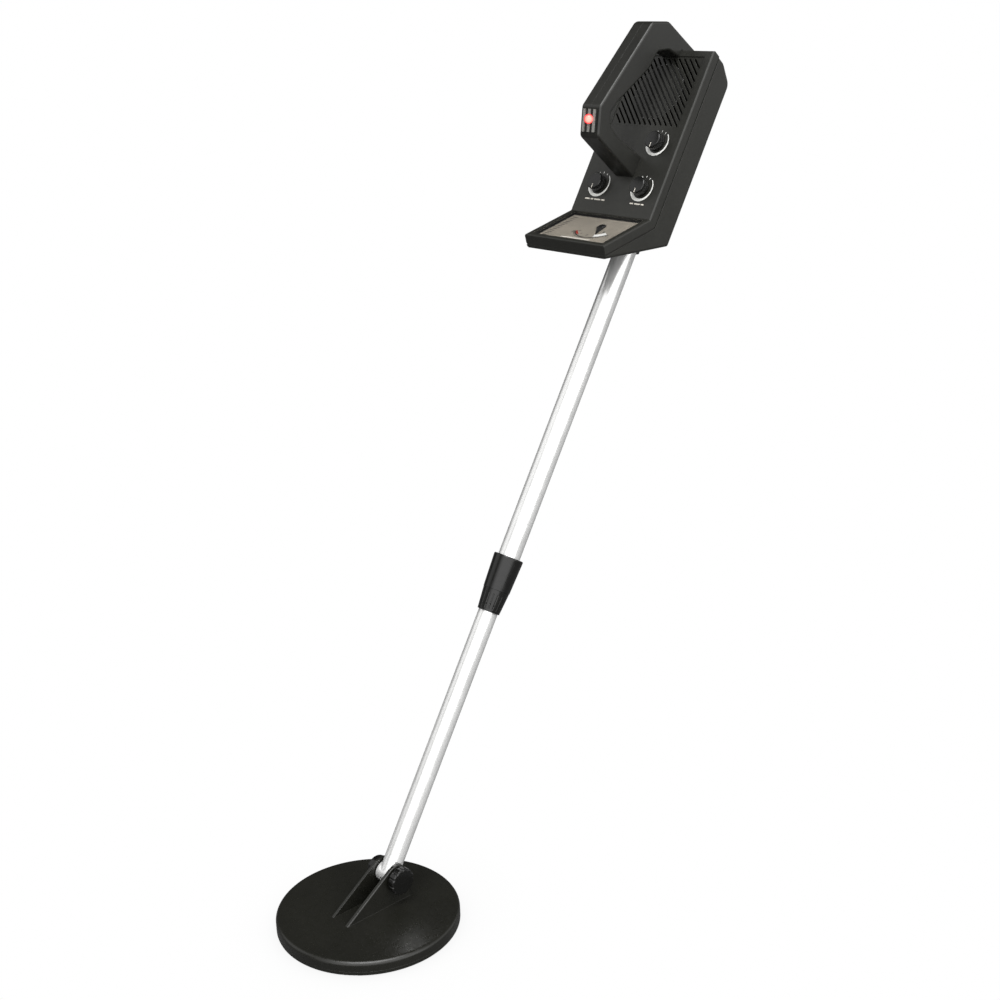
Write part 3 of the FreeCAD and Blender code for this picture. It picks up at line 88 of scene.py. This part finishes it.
class Shader:
    """A node material built up call by call."""

    def __init__(self, name):
        self.material = bpy.data.materials.new(name)
        self.material.use_nodes = True
        self.tree = self.material.node_tree
        self.surface = self.tree.nodes["Principled BSDF"]
        self.place = self.add("ShaderNodeTexCoord").outputs["Object"]

    def add(self, kind, **settings):
        node = self.tree.nodes.new(kind)
        for key, value in settings.items():
            setattr(node, key, value)
        return node

    def link(self, source, target):
        self.tree.links.new(source, target)

    def plug(self, value, target):
        if isinstance(value, (int, float, tuple)):
            target.default_value = value
        else:
            self.link(value, target)

    def set(self, **inputs):
        for key, value in inputs.items():
            self.plug(value, self.surface.inputs[key.replace("_", " ")])

    def stretched(self, scale, turn=(0, 0, 0)):
        mapping = self.add("ShaderNodeMapping")
        mapping.inputs["Rotation"].default_value = turn
        mapping.inputs["Scale"].default_value = scale
        self.link(self.place, mapping.inputs["Vector"])
        return mapping.outputs["Vector"]

    def noise(self, scale, detail=3.0, rough=0.55, vector=None):
        node = self.add("ShaderNodeTexNoise")
        node.inputs["Scale"].default_value = scale
        node.inputs["Detail"].default_value = detail
        node.inputs["Roughness"].default_value = rough
        self.link(vector or self.place, node.inputs["Vector"])
        return node.outputs["Fac"]

    def math(self, kind, a, b=0.0):
        node = self.add("ShaderNodeMath", operation=kind)
        self.plug(a, node.inputs[0])
        self.plug(b, node.inputs[1])
        return node.outputs[0]

    def spread(self, value, low, high, start=0.0, end=1.0):
        node = self.add("ShaderNodeMapRange")
        node.inputs["From Min"].default_value = start
        node.inputs["From Max"].default_value = end
        node.inputs["To Min"].default_value = low
        node.inputs["To Max"].default_value = high
        self.link(value, node.inputs["Value"])
        return node.outputs["Result"]

    def mix(self, amount, first, second):
        node = self.add("ShaderNodeMix", data_type="RGBA")
        self.plug(amount, node.inputs["Factor"])
        self.plug(first, node.inputs["A"])
        self.plug(second, node.inputs["B"])
        return node.outputs["Result"]

    def soft_edges(self, radius):
        """Rounded-looking edges, and a mask that is 1 on them."""
        bevel = self.add("ShaderNodeBevel", samples=6)
        bevel.inputs["Radius"].default_value = radius
        geometry = self.add("ShaderNodeNewGeometry")
        dot = self.add("ShaderNodeVectorMath", operation="DOT_PRODUCT")
        self.link(bevel.outputs["Normal"], dot.inputs[0])
        self.link(geometry.outputs["Normal"], dot.inputs[1])
        mask = self.spread(dot.outputs["Value"], 1.0, 0.0, 0.80, 0.99)
        return bevel.outputs["Normal"], mask

    def bump(self, height, strength, distance, normal=None):
        node = self.add("ShaderNodeBump")
        node.inputs["Strength"].default_value = strength
        node.inputs["Distance"].default_value = distance
        self.link(height, node.inputs["Height"])
        if normal is not None:
            self.link(normal, node.inputs["Normal"])
        return node.outputs["Normal"]


def srgb(red, green, blue):
    """Colour from 0-255 display values."""
    def linear(value):
        value /= 255
        return value / 12.92 if value <= 0.04045 else ((value + 0.055) / 1.055) ** 2.4
    return (linear(red), linear(green), linear(blue), 1.0)


def moulded_plastic(name, colour, rough=0.42, grain=1400.0, grain_depth=0.00005, wear=0.35):
    """Satin injection-moulded plastic: fine spark texture, faint mottling, rubbed edges."""
    shader = Shader(name)
    normal, edge = shader.soft_edges(0.0007)
    fine = shader.noise(grain, 2.0)
    broad = shader.noise(22.0, 4.0)
    scuffs = shader.noise(160.0, 5.0, 0.7)
    lighter = tuple(min(1.0, c * 1.9 + 0.01) for c in colour[:3]) + (1.0,)
    darker = tuple(c * 0.78 for c in colour[:3]) + (1.0,)
    base = shader.mix(shader.spread(broad, 0.0, 1.0, 0.3, 0.7), darker, colour)
    worn = shader.math("MULTIPLY", edge, shader.spread(scuffs, 0.2, 1.0, 0.35, 0.65))
    base = shader.mix(shader.math("MULTIPLY", worn, wear), base, lighter)
    roughness = shader.spread(scuffs, rough - 0.06, rough + 0.08, 0.3, 0.7)
    shader.set(Base_Color=base, Roughness=roughness, Specular_IOR_Level=0.5,
               Normal=shader.bump(fine, 0.35, grain_depth, normal))
    return shader.material


def gloss_plastic(name, colour, rough=0.16):
    """Smooth polished plastic with hairline scratches and fingerprints in the gloss."""
    shader = Shader(name)
    normal, edge = shader.soft_edges(0.0004)
    smears = shader.noise(90.0, 4.0, 0.6)
    hair = shader.noise(900.0, 3.0, 0.6, shader.stretched((1, 6, 1), (0.3, 0.5, 0.2)))
    lighter = tuple(min(1.0, c * 2.5 + 0.012) for c in colour[:3]) + (1.0,)
    base = shader.mix(shader.math("MULTIPLY", edge, 0.3), colour, lighter)
    roughness = shader.spread(smears, rough, rough + 0.16, 0.35, 0.75)
    shader.set(Base_Color=base, Roughness=roughness,
               Normal=shader.bump(hair, 0.12, 0.00003, normal))
    return shader.material


def drawn_aluminium(name, light=(0.93, 0.93, 0.92, 1.0), metal=0.55, rough=0.16):
    """Bright anodised tube: fine lengthwise lines, faint handling marks."""
    shader = Shader(name)
    along = shader.stretched((1500, 1500, 12), (0, LEAN, 0))
    lines = shader.noise(1.0, 2.0, 0.5, along)
    marks = shader.noise(35.0, 5.0, 0.65)
    dull = tuple(c * 0.90 for c in light[:3]) + (1.0,)
    base = shader.mix(shader.spread(marks, 0.0, 1.0, 0.35, 0.7), dull, light)
    roughness = shader.spread(marks, rough, rough + 0.12, 0.3, 0.7)
    shader.set(Base_Color=base, Metallic=metal, Roughness=roughness,
               Normal=shader.bump(lines, 0.12, 0.00002))
    return shader.material


def plated_steel(name, colour=(0.55, 0.55, 0.54, 1.0), rough=0.3):
    """Plated metal with a fine grain and faint stains."""
    shader = Shader(name)
    normal, edge = shader.soft_edges(0.0002)
    grain = shader.noise(1200.0, 3.0)
    stain = shader.noise(200.0, 4.0)
    base = shader.mix(shader.spread(stain, 0.0, 1.0, 0.35, 0.7), colour,
                      tuple(c * 0.75 for c in colour[:3]) + (1.0,))
    shader.set(Base_Color=base, Metallic=1.0,
               Roughness=shader.spread(stain, rough, rough + 0.15, 0.3, 0.7),
               Normal=shader.bump(grain, 0.15, 0.00002, normal))
    return shader.material


def soft_rubber(name, colour=(0.012, 0.012, 0.012, 1.0)):
    """Matt rubber with a little dust on it."""
    shader = Shader(name)
    fine = shader.noise(1800.0, 2.0)
    dust = shader.noise(60.0, 5.0, 0.65)
    base = shader.mix(shader.spread(dust, 0.0, 0.35, 0.45, 0.8), colour, (0.06, 0.06, 0.058, 1.0))
    shader.set(Base_Color=base, Roughness=shader.spread(dust, 0.62, 0.85, 0.3, 0.7),
               Normal=shader.bump(fine, 0.3, 0.00004))
    return shader.material


def wound_copper(name):
    """Enamelled wire in close turns."""
    shader = Shader(name)
    wave = shader.add("ShaderNodeTexWave", wave_type="RINGS", rings_direction="Z")
    wave.inputs["Scale"].default_value = 700.0
    shader.link(shader.place, wave.inputs["Vector"])
    patches = shader.noise(120.0)
    base = shader.mix(patches, (0.30, 0.10, 0.035, 1.0), (0.52, 0.22, 0.09, 1.0))
    shader.set(Base_Color=base, Metallic=0.8, Roughness=0.35,
               Normal=shader.bump(wave.outputs["Fac"], 0.5, 0.0002))
    return shader.material


def fibre_board(name):
    """Green lacquered circuit board with its weave just showing."""
    shader = Shader(name)
    weave = shader.add("ShaderNodeTexChecker")
    weave.inputs["Scale"].default_value = 1600.0
    shader.link(shader.place, weave.inputs["Vector"])
    patches = shader.noise(50.0)
    base = shader.mix(patches, (0.012, 0.09, 0.03, 1.0), (0.025, 0.15, 0.05, 1.0))
    shader.set(Base_Color=base, Roughness=0.35,
               Normal=shader.bump(weave.outputs["Fac"], 0.1, 0.00003))
    return shader.material


def woven_cloth(name):
    """Black loudspeaker cloth."""
    shader = Shader(name)
    wave = shader.add("ShaderNodeTexWave", wave_type="BANDS", bands_direction="Y")
    wave.inputs["Scale"].default_value = 900.0
    shader.link(shader.place, wave.inputs["Vector"])
    fluff = shader.noise(500.0)
    base = shader.mix(fluff, (0.004, 0.004, 0.004, 1.0), (0.012, 0.012, 0.011, 1.0))
    shader.set(Base_Color=base, Roughness=0.9, Sheen_Weight=0.08,
               Normal=shader.bump(wave.outputs["Fac"], 0.6, 0.0001))
    return shader.material


def printed_face(name, colour):
    """The meter's printed face: off-white card with a faint mottle."""
    shader = Shader(name)
    mottle = shader.noise(40.0, 4.0)
    grain = shader.noise(900.0, 3.0)
    darker = tuple(c * 0.86 for c in colour[:3]) + (1.0,)
    base = shader.mix(shader.spread(mottle, 0.0, 1.0, 0.3, 0.7), darker, colour)
    shader.set(Base_Color=base, Roughness=0.6, Normal=shader.bump(grain, 0.1, 0.00003))
    return shader.material


def white_ink(name, colour=(0.75, 0.75, 0.72, 1.0)):
    """Screen-printed ink, thin and slightly broken up."""
    shader = Shader(name)
    breaks = shader.noise(1500.0, 4.0, 0.7)
    darker = tuple(c * 0.7 for c in colour[:3]) + (1.0,)
    base = shader.mix(shader.spread(breaks, 0.0, 1.0, 0.5, 0.8), colour, darker)
    shader.set(Base_Color=base, Roughness=0.5, Normal=shader.bump(breaks, 0.1, 0.00002))
    return shader.material


def clear_window(name):
    """Thin clear plastic: mostly see-through, with a soft sheen."""
    shader = Shader(name)
    smears = shader.noise(60.0, 4.0)
    shader.set(Base_Color=(0.05, 0.05, 0.05, 1.0), Roughness=shader.spread(smears, 0.02, 0.10),
               Alpha=0.08, IOR=1.46, Normal=shader.bump(smears, 0.02, 0.0001))
    return shader.material


def lit_lens(name):
    """The red indicator, glowing red from inside; its whiter core, strongest where it faces the
    viewer, is a painted highlight.
    """
    shader = Shader(name)
    facing = shader.add("ShaderNodeLayerWeight")
    facing.inputs["Blend"].default_value = 0.35
    grain = shader.noise(700.0)
    # The red is the indicator's own glow. The near-white where the lens faces the viewer is a
    # painted highlight.
    glow_and_painted_highlight = shader.mix(shader.spread(facing.outputs["Facing"], 0.0, 1.0, 0.05, 0.5),
                      (1.0, 0.30, 0.24, 1.0), (0.72, 0.01, 0.02, 1.0))
    shader.set(Base_Color=(0.7, 0.01, 0.01, 1.0), Roughness=0.2, Emission_Color=glow_and_painted_highlight,
               Emission_Strength=2.2, Normal=shader.bump(grain, 0.05, 0.00002))
    return shader.material


def ribbed_bezel(name):
    """Metal plate with raised ribs of bright metal; the grooves between them are coloured near-black
    as painted shade.
    """
    shader = Shader(name)
    outward = (STEM.to_3x3() @ NOSE_OUTWARD).normalized()
    height = shader.add("ShaderNodeVectorMath", operation="DOT_PRODUCT")
    shader.link(shader.place, height.inputs[0])
    height.inputs[1].default_value = outward
    level = (STEM @ NOSE).dot(outward)
    # Below the ribs' foot the plate is coloured near-black, non-metallic: painted shade in the
    # grooves.
    ribs = shader.spread(height.outputs["Value"], 0.0, 1.0, level + RIB_FOOT, level + RIB_TOP)
    marks = shader.noise(300.0, 4.0)
    bright = shader.mix(marks, (0.42, 0.42, 0.39, 1.0), (0.62, 0.62, 0.58, 1.0))
    shader.set(Base_Color=shader.mix(ribs, (0.015, 0.015, 0.014, 1.0), bright),
               Metallic=shader.math("MULTIPLY", ribs, 0.7),
               Roughness=shader.spread(marks, 0.22, 0.36, 0.3, 0.7),
               Normal=shader.bump(marks, 0.1, 0.00002))
    return shader.material


COIL = moulded_plastic("coil_satin", srgb(27, 27, 23), rough=0.30, grain_depth=0.000012)
CASE = moulded_plastic("case_satin", srgb(34, 34, 30), rough=0.40)
HANDLE = moulded_plastic("handle_satin", srgb(33, 33, 30), rough=0.34)
GLOSS = gloss_plastic("black_gloss", srgb(14, 14, 13), rough=0.12)
COLLAR = gloss_plastic("collar_gloss", srgb(16, 16, 15), rough=0.14)
TUBE = drawn_aluminium("bright_tube")
BEZEL = ribbed_bezel("ribbed_bezel")
STEEL = plated_steel("zinc_steel")
CHROME = plated_steel("bright_plate", (0.8, 0.8, 0.8, 1.0), 0.08)
NYLON = gloss_plastic("pale_nylon", srgb(196, 194, 186), rough=0.35)
RUBBER = soft_rubber("black_rubber")
COPPER = wound_copper("enamelled_copper")
BOARD = fibre_board("green_board")
CLOTH = woven_cloth("dust_cloth")
FACE = printed_face("meter_card", srgb(142, 135, 123))
INK = white_ink("white_ink")
PALE_INK = white_ink("pale_ink", srgb(205, 200, 190))
DARK_INK = white_ink("dark_ink", srgb(24, 24, 22))
RED_INK = white_ink("red_ink", srgb(150, 40, 30))
WINDOW = clear_window("clear_window")
LENS = lit_lens("lit_red_lens")

BY_SLOT = {
    "coil_plastic": COIL, "case_plastic": CASE, "handle_plastic": HANDLE,
    "knob_plastic": GLOSS, "collar_plastic": COLLAR, "nylon": NYLON, "bezel_metal": BEZEL,
    "tube_aluminium": TUBE, "steel": STEEL, "rubber": RUBBER, "copper": COPPER,
    "circuit_board": BOARD, "component": GLOSS, "battery": GLOSS, "speaker_steel": STEEL,
    "magnet": RUBBER, "paper": CLOTH, "cloth": CLOTH, "meter_face": FACE, "needle": DARK_INK,
    "window": WINDOW, "led": LENS, "chrome": CHROME,
}


def finish_cad_nodes():
    """Gives every CAD piece the material of its slot in the record."""
    for part in frame["record"]["subparts"]:
        item = nodes[part["node"]]
        material = BY_SLOT[part["material_slot"]]
        item.data.materials.clear()
        item.data.materials.append(material)


# ---------------------------------------------------------------- printed marks

# Each control: its place on the panel (y, z in mm) and the body that turns with it.
CONTROLS = {
    "sensitivity": ((32.0, 793.7), "sensitivity_control"),
    "tuning": ((-32.0, 793.7), "tuning_control"),
    "volume": ((29.5, 847.0), "volume_control"),
}
KNOB_TOP = 10.0
CRESCENT_RADIUS = 15.2
CAPTION_Y = 774.6
CAPTION_HEIGHT = 1.5
WORD_GAP = 1.6

# The meter: the needle's hub on the tray (x, y), the card's top below the tray's
# face, and the scale's half angle and radius.
HUB = (24.0, 10.0)
FACE_TOP = -4.0
INK_BASE = FACE_TOP + 0.03
SCALE_HALF_ANGLE = 55
SCALE_RADIUS = 30.0
# Outer radius of the red zone and of the white band that is a painted highlight.
ZONE_AND_HIGHLIGHT_RADIUS = 28.7
CARD_NEAR = 1.8
CARD_FAR = 68.2
CARD_HALF = 53.2
BORDER_WIDTH = 2.0


class Print:
    """Thin raised ink built up from flat shapes, in millimetres on one frame's x-y plane."""

    def __init__(self, name, frame, lift=0.06, thick=0.12):
        self.name = name
        self.frame = frame
        self.low = lift
        self.high = lift + thick
        self.build = bmesh.new()

    def shape(self, corners):
        """One flat outline of (x, y) corners, given a little thickness."""
        lower = [self.build.verts.new((x * MM, y * MM, self.low * MM)) for x, y in corners]
        upper = [self.build.verts.new((x * MM, y * MM, self.high * MM)) for x, y in corners]
        self.build.faces.new(upper)
        self.build.faces.new(list(reversed(lower)))
        count = len(corners)
        for n in range(count):
            m = (n + 1) % count
            self.build.faces.new((lower[n], lower[m], upper[m], upper[n]))

    def bar(self, x, y, width, height):
        self.shape([(x, y), (x + width, y), (x + width, y + height), (x, y + height)])

    def spoke(self, centre, angle, inner, outer, width):
        """A straight mark pointing away from a centre."""
        along = Vector((math.cos(math.radians(angle)), math.sin(math.radians(angle))))
        across = Vector((-along.y, along.x)) * (width / 2)
        start, end = Vector(centre) + along * inner, Vector(centre) + along * outer
        self.shape([tuple(start - across), tuple(end - across), tuple(end + across),
                    tuple(start + across)])

    def band(self, centre, first, last, outer, width_at, steps=40):
        """A curved strip; width_at gives its width from its start (0) to its end (1)."""
        rim, inside = [], []
        for n in range(steps + 1):
            part = n / steps
            angle = math.radians(first + (last - first) * part)
            reach = outer - width_at(part)
            rim.append((centre[0] + outer * math.cos(angle), centre[1] + outer * math.sin(angle)))
            inside.append((centre[0] + reach * math.cos(angle), centre[1] + reach * math.sin(angle)))
        for n in range(steps):
            self.shape([rim[n], rim[n + 1], inside[n + 1], inside[n]])

    def finish(self, material, body="housing"):
        bmesh.ops.remove_doubles(self.build, verts=self.build.verts, dist=1e-7)
        bmesh.ops.recalc_face_normals(self.build, faces=self.build.faces)
        mesh = bpy.data.meshes.new(self.name)
        self.build.to_mesh(mesh)
        self.build.free()
        mesh.materials.append(material)
        item = bpy.data.objects.new(self.name, mesh)
        item.matrix_world = self.frame
        scene.collection.objects.link(item)
        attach(item, body)
        return item


def dial_marks():
    """A swelling crescent and fine ticks round each control, and a pointer on each knob."""
    def swelling(part):
        return 0.7 + 3.9 * min(1.0, part * 14) * (1 - part) ** 1.1

    for name, (place, body) in CONTROLS.items():
        crescent = Print(f"{name}_crescent", PANEL)
        crescent.band(place, 200, 405, CRESCENT_RADIUS, swelling)
        crescent.finish(INK)
        ticks = Print(f"{name}_ticks", PANEL)
        for number in range(6):
            ticks.spoke(place, 60 + number * 25, 12.6, 14.6, 0.6)
        ticks.finish(INK)
        pointer = Print(f"{name}_pointer", PANEL, KNOB_TOP - 0.78, 0.5)
        pointer.spoke(place, 270, 3.9, 8.9, 1.2)
        pointer.finish(PALE_INK, body)


def panel_captions():
    """Plain bars where a maker would print words."""
    for name, start, lengths in (("tuning_caption", -45.0, (7, 4, 9, 5)),
                                 ("sensitivity_caption", 23.0, (5, 8, 4))):
        caption = Print(name, PANEL)
        at = start
        for length in lengths:
            caption.bar(at, CAPTION_Y, length, CAPTION_HEIGHT)
            at += length + WORD_GAP
        caption.finish(PALE_INK)


def meter_print():
    """The scale, its red zone, a white band that is a painted highlight, and the plain label band on
    the meter's face.
    """
    scale = Print("meter_scale", TRAY, INK_BASE, 0.08)
    scale.band(HUB, -SCALE_HALF_ANGLE, SCALE_HALF_ANGLE, SCALE_RADIUS, lambda part: 1.1)
    tick_foot = SCALE_RADIUS - 0.2
    for number in range(23):
        length = 4.2 if number % 5 == 1 else 2.4
        scale.spoke(HUB, number * 5 - SCALE_HALF_ANGLE, tick_foot, tick_foot + length, 0.8)
    scale.finish(DARK_INK)
    # A white band beside the pointer's tip: a painted highlight, drawn in white ink on the card.
    highlight_band = Print("meter_painted_highlight", TRAY, INK_BASE, 0.08)
    highlight_band.band(HUB, 22, 54, ZONE_AND_HIGHLIGHT_RADIUS, lambda part: 6.5)
    highlight_band.finish(INK)
    warning = Print("meter_red_zone", TRAY, INK_BASE, 0.08)
    warning.band(HUB, -54, -30, ZONE_AND_HIGHLIGHT_RADIUS, lambda part: 2.2)
    warning.finish(RED_INK)
    label = Print("meter_label", TRAY, FACE_TOP + 0.2, 0.08)
    label.bar(57.6, -19, 3.0, 43)
    label.finish(PALE_INK)
    meter_border()
    hatch = Print("meter_hatch", TRAY, INK_BASE, 0.08)
    for number in range(13):
        hatch.bar(9 + number * 4.2, -47.5, 1.1, 6.5)
    hatch.finish(DARK_INK)
    for number in range(5):
        scale_number(number, number * 25 - 50)


def meter_border():
    """A dark line round the card's edge."""
    border = Print("meter_border", TRAY, INK_BASE, 0.1)
    inner_width = CARD_FAR - CARD_NEAR - BORDER_WIDTH * 2
    for x in (CARD_NEAR, CARD_FAR - BORDER_WIDTH):
        border.bar(x, -CARD_HALF, BORDER_WIDTH, CARD_HALF * 2)
    for y in (-CARD_HALF, CARD_HALF - BORDER_WIDTH):
        border.bar(CARD_NEAR + BORDER_WIDTH, y, inner_width, BORDER_WIDTH)
    border.finish(DARK_INK)


def scale_number(number, angle):
    """A figure from 0 to 4 beside the scale, read from the user's side."""
    data = bpy.data.curves.new(f"scale_number_{number}", "FONT")
    data.body = str(number)
    data.size = 5.0 * MM
    data.extrude = 0.04 * MM
    data.align_x = "CENTER"
    data.align_y = "CENTER"
    data.materials.append(DARK_INK)
    item = bpy.data.objects.new(f"scale_number_{number}", data)
    # Figures that fall inside the painted highlight's band sit nearer the hub.
    in_painted_highlight = angle > 20
    reach = 18.5 if in_painted_highlight else 24.0
    x = HUB[0] + reach * math.cos(math.radians(angle))
    y = HUB[1] + reach * math.sin(math.radians(angle))
    place = Matrix.Translation(Vector((x, y, FACE_TOP + 0.16)) * MM)
    item.matrix_world = TRAY @ place @ Matrix.Rotation(math.radians(-90), 4, "Z")
    scene.collection.objects.link(item)
    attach(item, "housing")


# ---------------------------------------------------------------- stage

# Soft panels of light round the object: where each lies, how wide it spreads
# (cosines of its outer and inner edge) and how bright it is.
LIGHT_PANELS = [
    ((0.50, 0.80, 0.33), 0.25, 0.85, 1.9),
    ((-0.72, 0.66, -0.10), 0.55, 0.90, 0.75),
    ((0.50, -0.68, 0.53), 0.86, 0.97, 0.75),
    ((0.18, 0.22, 0.96), 0.90, 0.975, 6.0),
]
ROOM_GLOW = 0.05
FLOOR_HALF_WIDTH = 8.0
FLOOR_LEVEL = -0.0005
SHADOW_REACH = 0.14
SHADOW_TINT = (0.86, 0.86, 0.86, 1.0)

LAMP_PLACE = (-0.1, 1.9, 1.5)
LAMP_AIM = (-0.25, 0, 0.6)
CAMERA_PLACE = (0.8515, 1.1876, 0.9820)
CAMERA_HEADING = math.radians(-131.83)
CAMERA_PITCH = math.radians(-19.066)
CAMERA_ROLL = math.radians(-1.82)
CAMERA_LENS = 55.86


def studio_world():
    """White to the camera; to everything else, a dim room with bright panels."""
    world = bpy.data.worlds.new("studio")
    world.use_nodes = True
    tree = world.node_tree
    background = tree.nodes["Background"]
    direction = tree.nodes.new("ShaderNodeTexCoord").outputs["Generated"]
    total = None
    for aim, outer, inner, bright in LIGHT_PANELS:
        dot = tree.nodes.new("ShaderNodeVectorMath")
        dot.operation = "DOT_PRODUCT"
        tree.links.new(direction, dot.inputs[0])
        dot.inputs[1].default_value = Vector(aim).normalized()
        ramp = tree.nodes.new("ShaderNodeMapRange")
        ramp.interpolation_type = "SMOOTHSTEP"
        ramp.inputs["From Min"].default_value = outer
        ramp.inputs["From Max"].default_value = inner
        ramp.inputs["To Min"].default_value = 0.0
        ramp.inputs["To Max"].default_value = bright
        tree.links.new(dot.outputs["Value"], ramp.inputs["Value"])
        add = tree.nodes.new("ShaderNodeMath")
        add.operation = "ADD"
        tree.links.new(ramp.outputs["Result"], add.inputs[0])
        if total is None:
            add.inputs[1].default_value = ROOM_GLOW
        else:
            tree.links.new(total, add.inputs[1])
        total = add.outputs[0]
    path = tree.nodes.new("ShaderNodeLightPath")
    choice = tree.nodes.new("ShaderNodeMix")
    tree.links.new(path.outputs["Is Camera Ray"], choice.inputs["Factor"])
    tree.links.new(total, choice.inputs["A"])
    choice.inputs["B"].default_value = 1.0
    tree.links.new(choice.outputs["Result"], background.inputs["Strength"])
    background.inputs["Color"].default_value = (1.0, 1.0, 1.0, 1.0)
    scene.world = world


def pale_floor():
    """A plain pale floor: the camera sees a soft contact shadow on it, and what hangs below it."""
    mesh = bpy.data.meshes.new("floor")
    build = bmesh.new()
    for x, y in ((-1, -1), (1, -1), (1, 1), (-1, 1)):
        build.verts.new((x * FLOOR_HALF_WIDTH, y * FLOOR_HALF_WIDTH, FLOOR_LEVEL))
    build.faces.new(build.verts)
    build.to_mesh(mesh)
    build.free()
    floor = bpy.data.objects.new("floor", mesh)
    scene.collection.objects.link(floor)
    shader = Shader("pale_floor")
    grain = shader.noise(30.0)
    dull = shader.mix(grain, (0.10, 0.10, 0.10, 1.0), (0.11, 0.11, 0.11, 1.0))
    shader.set(Base_Color=dull, Roughness=0.9)
    near = shader.add("ShaderNodeAmbientOcclusion", samples=12)
    near.inputs["Distance"].default_value = SHADOW_REACH
    seen = shader.add("ShaderNodeBsdfTransparent")
    shade = shader.mix(near.outputs["AO"], SHADOW_TINT, (1.0, 1.0, 1.0, 1.0))
    shader.link(shade, seen.inputs["Color"])
    path = shader.add("ShaderNodeLightPath")
    blend = shader.add("ShaderNodeMixShader")
    shader.link(path.outputs["Is Camera Ray"], blend.inputs["Fac"])
    shader.link(shader.surface.outputs["BSDF"], blend.inputs[1])
    shader.link(seen.outputs["BSDF"], blend.inputs[2])
    shader.link(blend.outputs["Shader"], shader.tree.nodes["Material Output"].inputs["Surface"])
    mesh.materials.append(shader.material)


def side_lamp():
    """A weak soft lamp on the user's left; it doesn't show in glossy surfaces."""
    data = bpy.data.lights.new("side_lamp", "AREA")
    data.energy = 10
    data.shape = "RECTANGLE"
    data.size = 0.9
    data.size_y = 1.6
    item = bpy.data.objects.new("side_lamp", data)
    item.location = LAMP_PLACE
    aim = Vector(LAMP_AIM) - Vector(LAMP_PLACE)
    item.rotation_euler = aim.to_track_quat("-Z", "Y").to_euler()
    item.visible_glossy = False
    scene.collection.objects.link(item)


def camera_in_front():
    """Long lens, a little above the housing, in front and to the user's left."""
    data = bpy.data.cameras.new("camera")
    data.sensor_width = 36.0
    data.lens = CAMERA_LENS
    data.clip_end = 30
    camera = bpy.data.objects.new("camera", data)
    level = math.cos(CAMERA_PITCH)
    aim = Vector((math.cos(CAMERA_HEADING) * level, math.sin(CAMERA_HEADING) * level,
                  math.sin(CAMERA_PITCH)))
    turn = aim.to_track_quat("-Z", "Y").to_matrix().to_4x4()
    roll = Matrix.Rotation(CAMERA_ROLL, 4, "Z")
    camera.matrix_world = Matrix.Translation(CAMERA_PLACE) @ turn @ roll
    scene.collection.objects.link(camera)
    scene.camera = camera


finish_cad_nodes()
dial_marks()
panel_captions()
meter_print()
studio_world()
pale_floor()
side_lamp()
camera_in_front()
scene.view_settings.view_transform = "Standard"
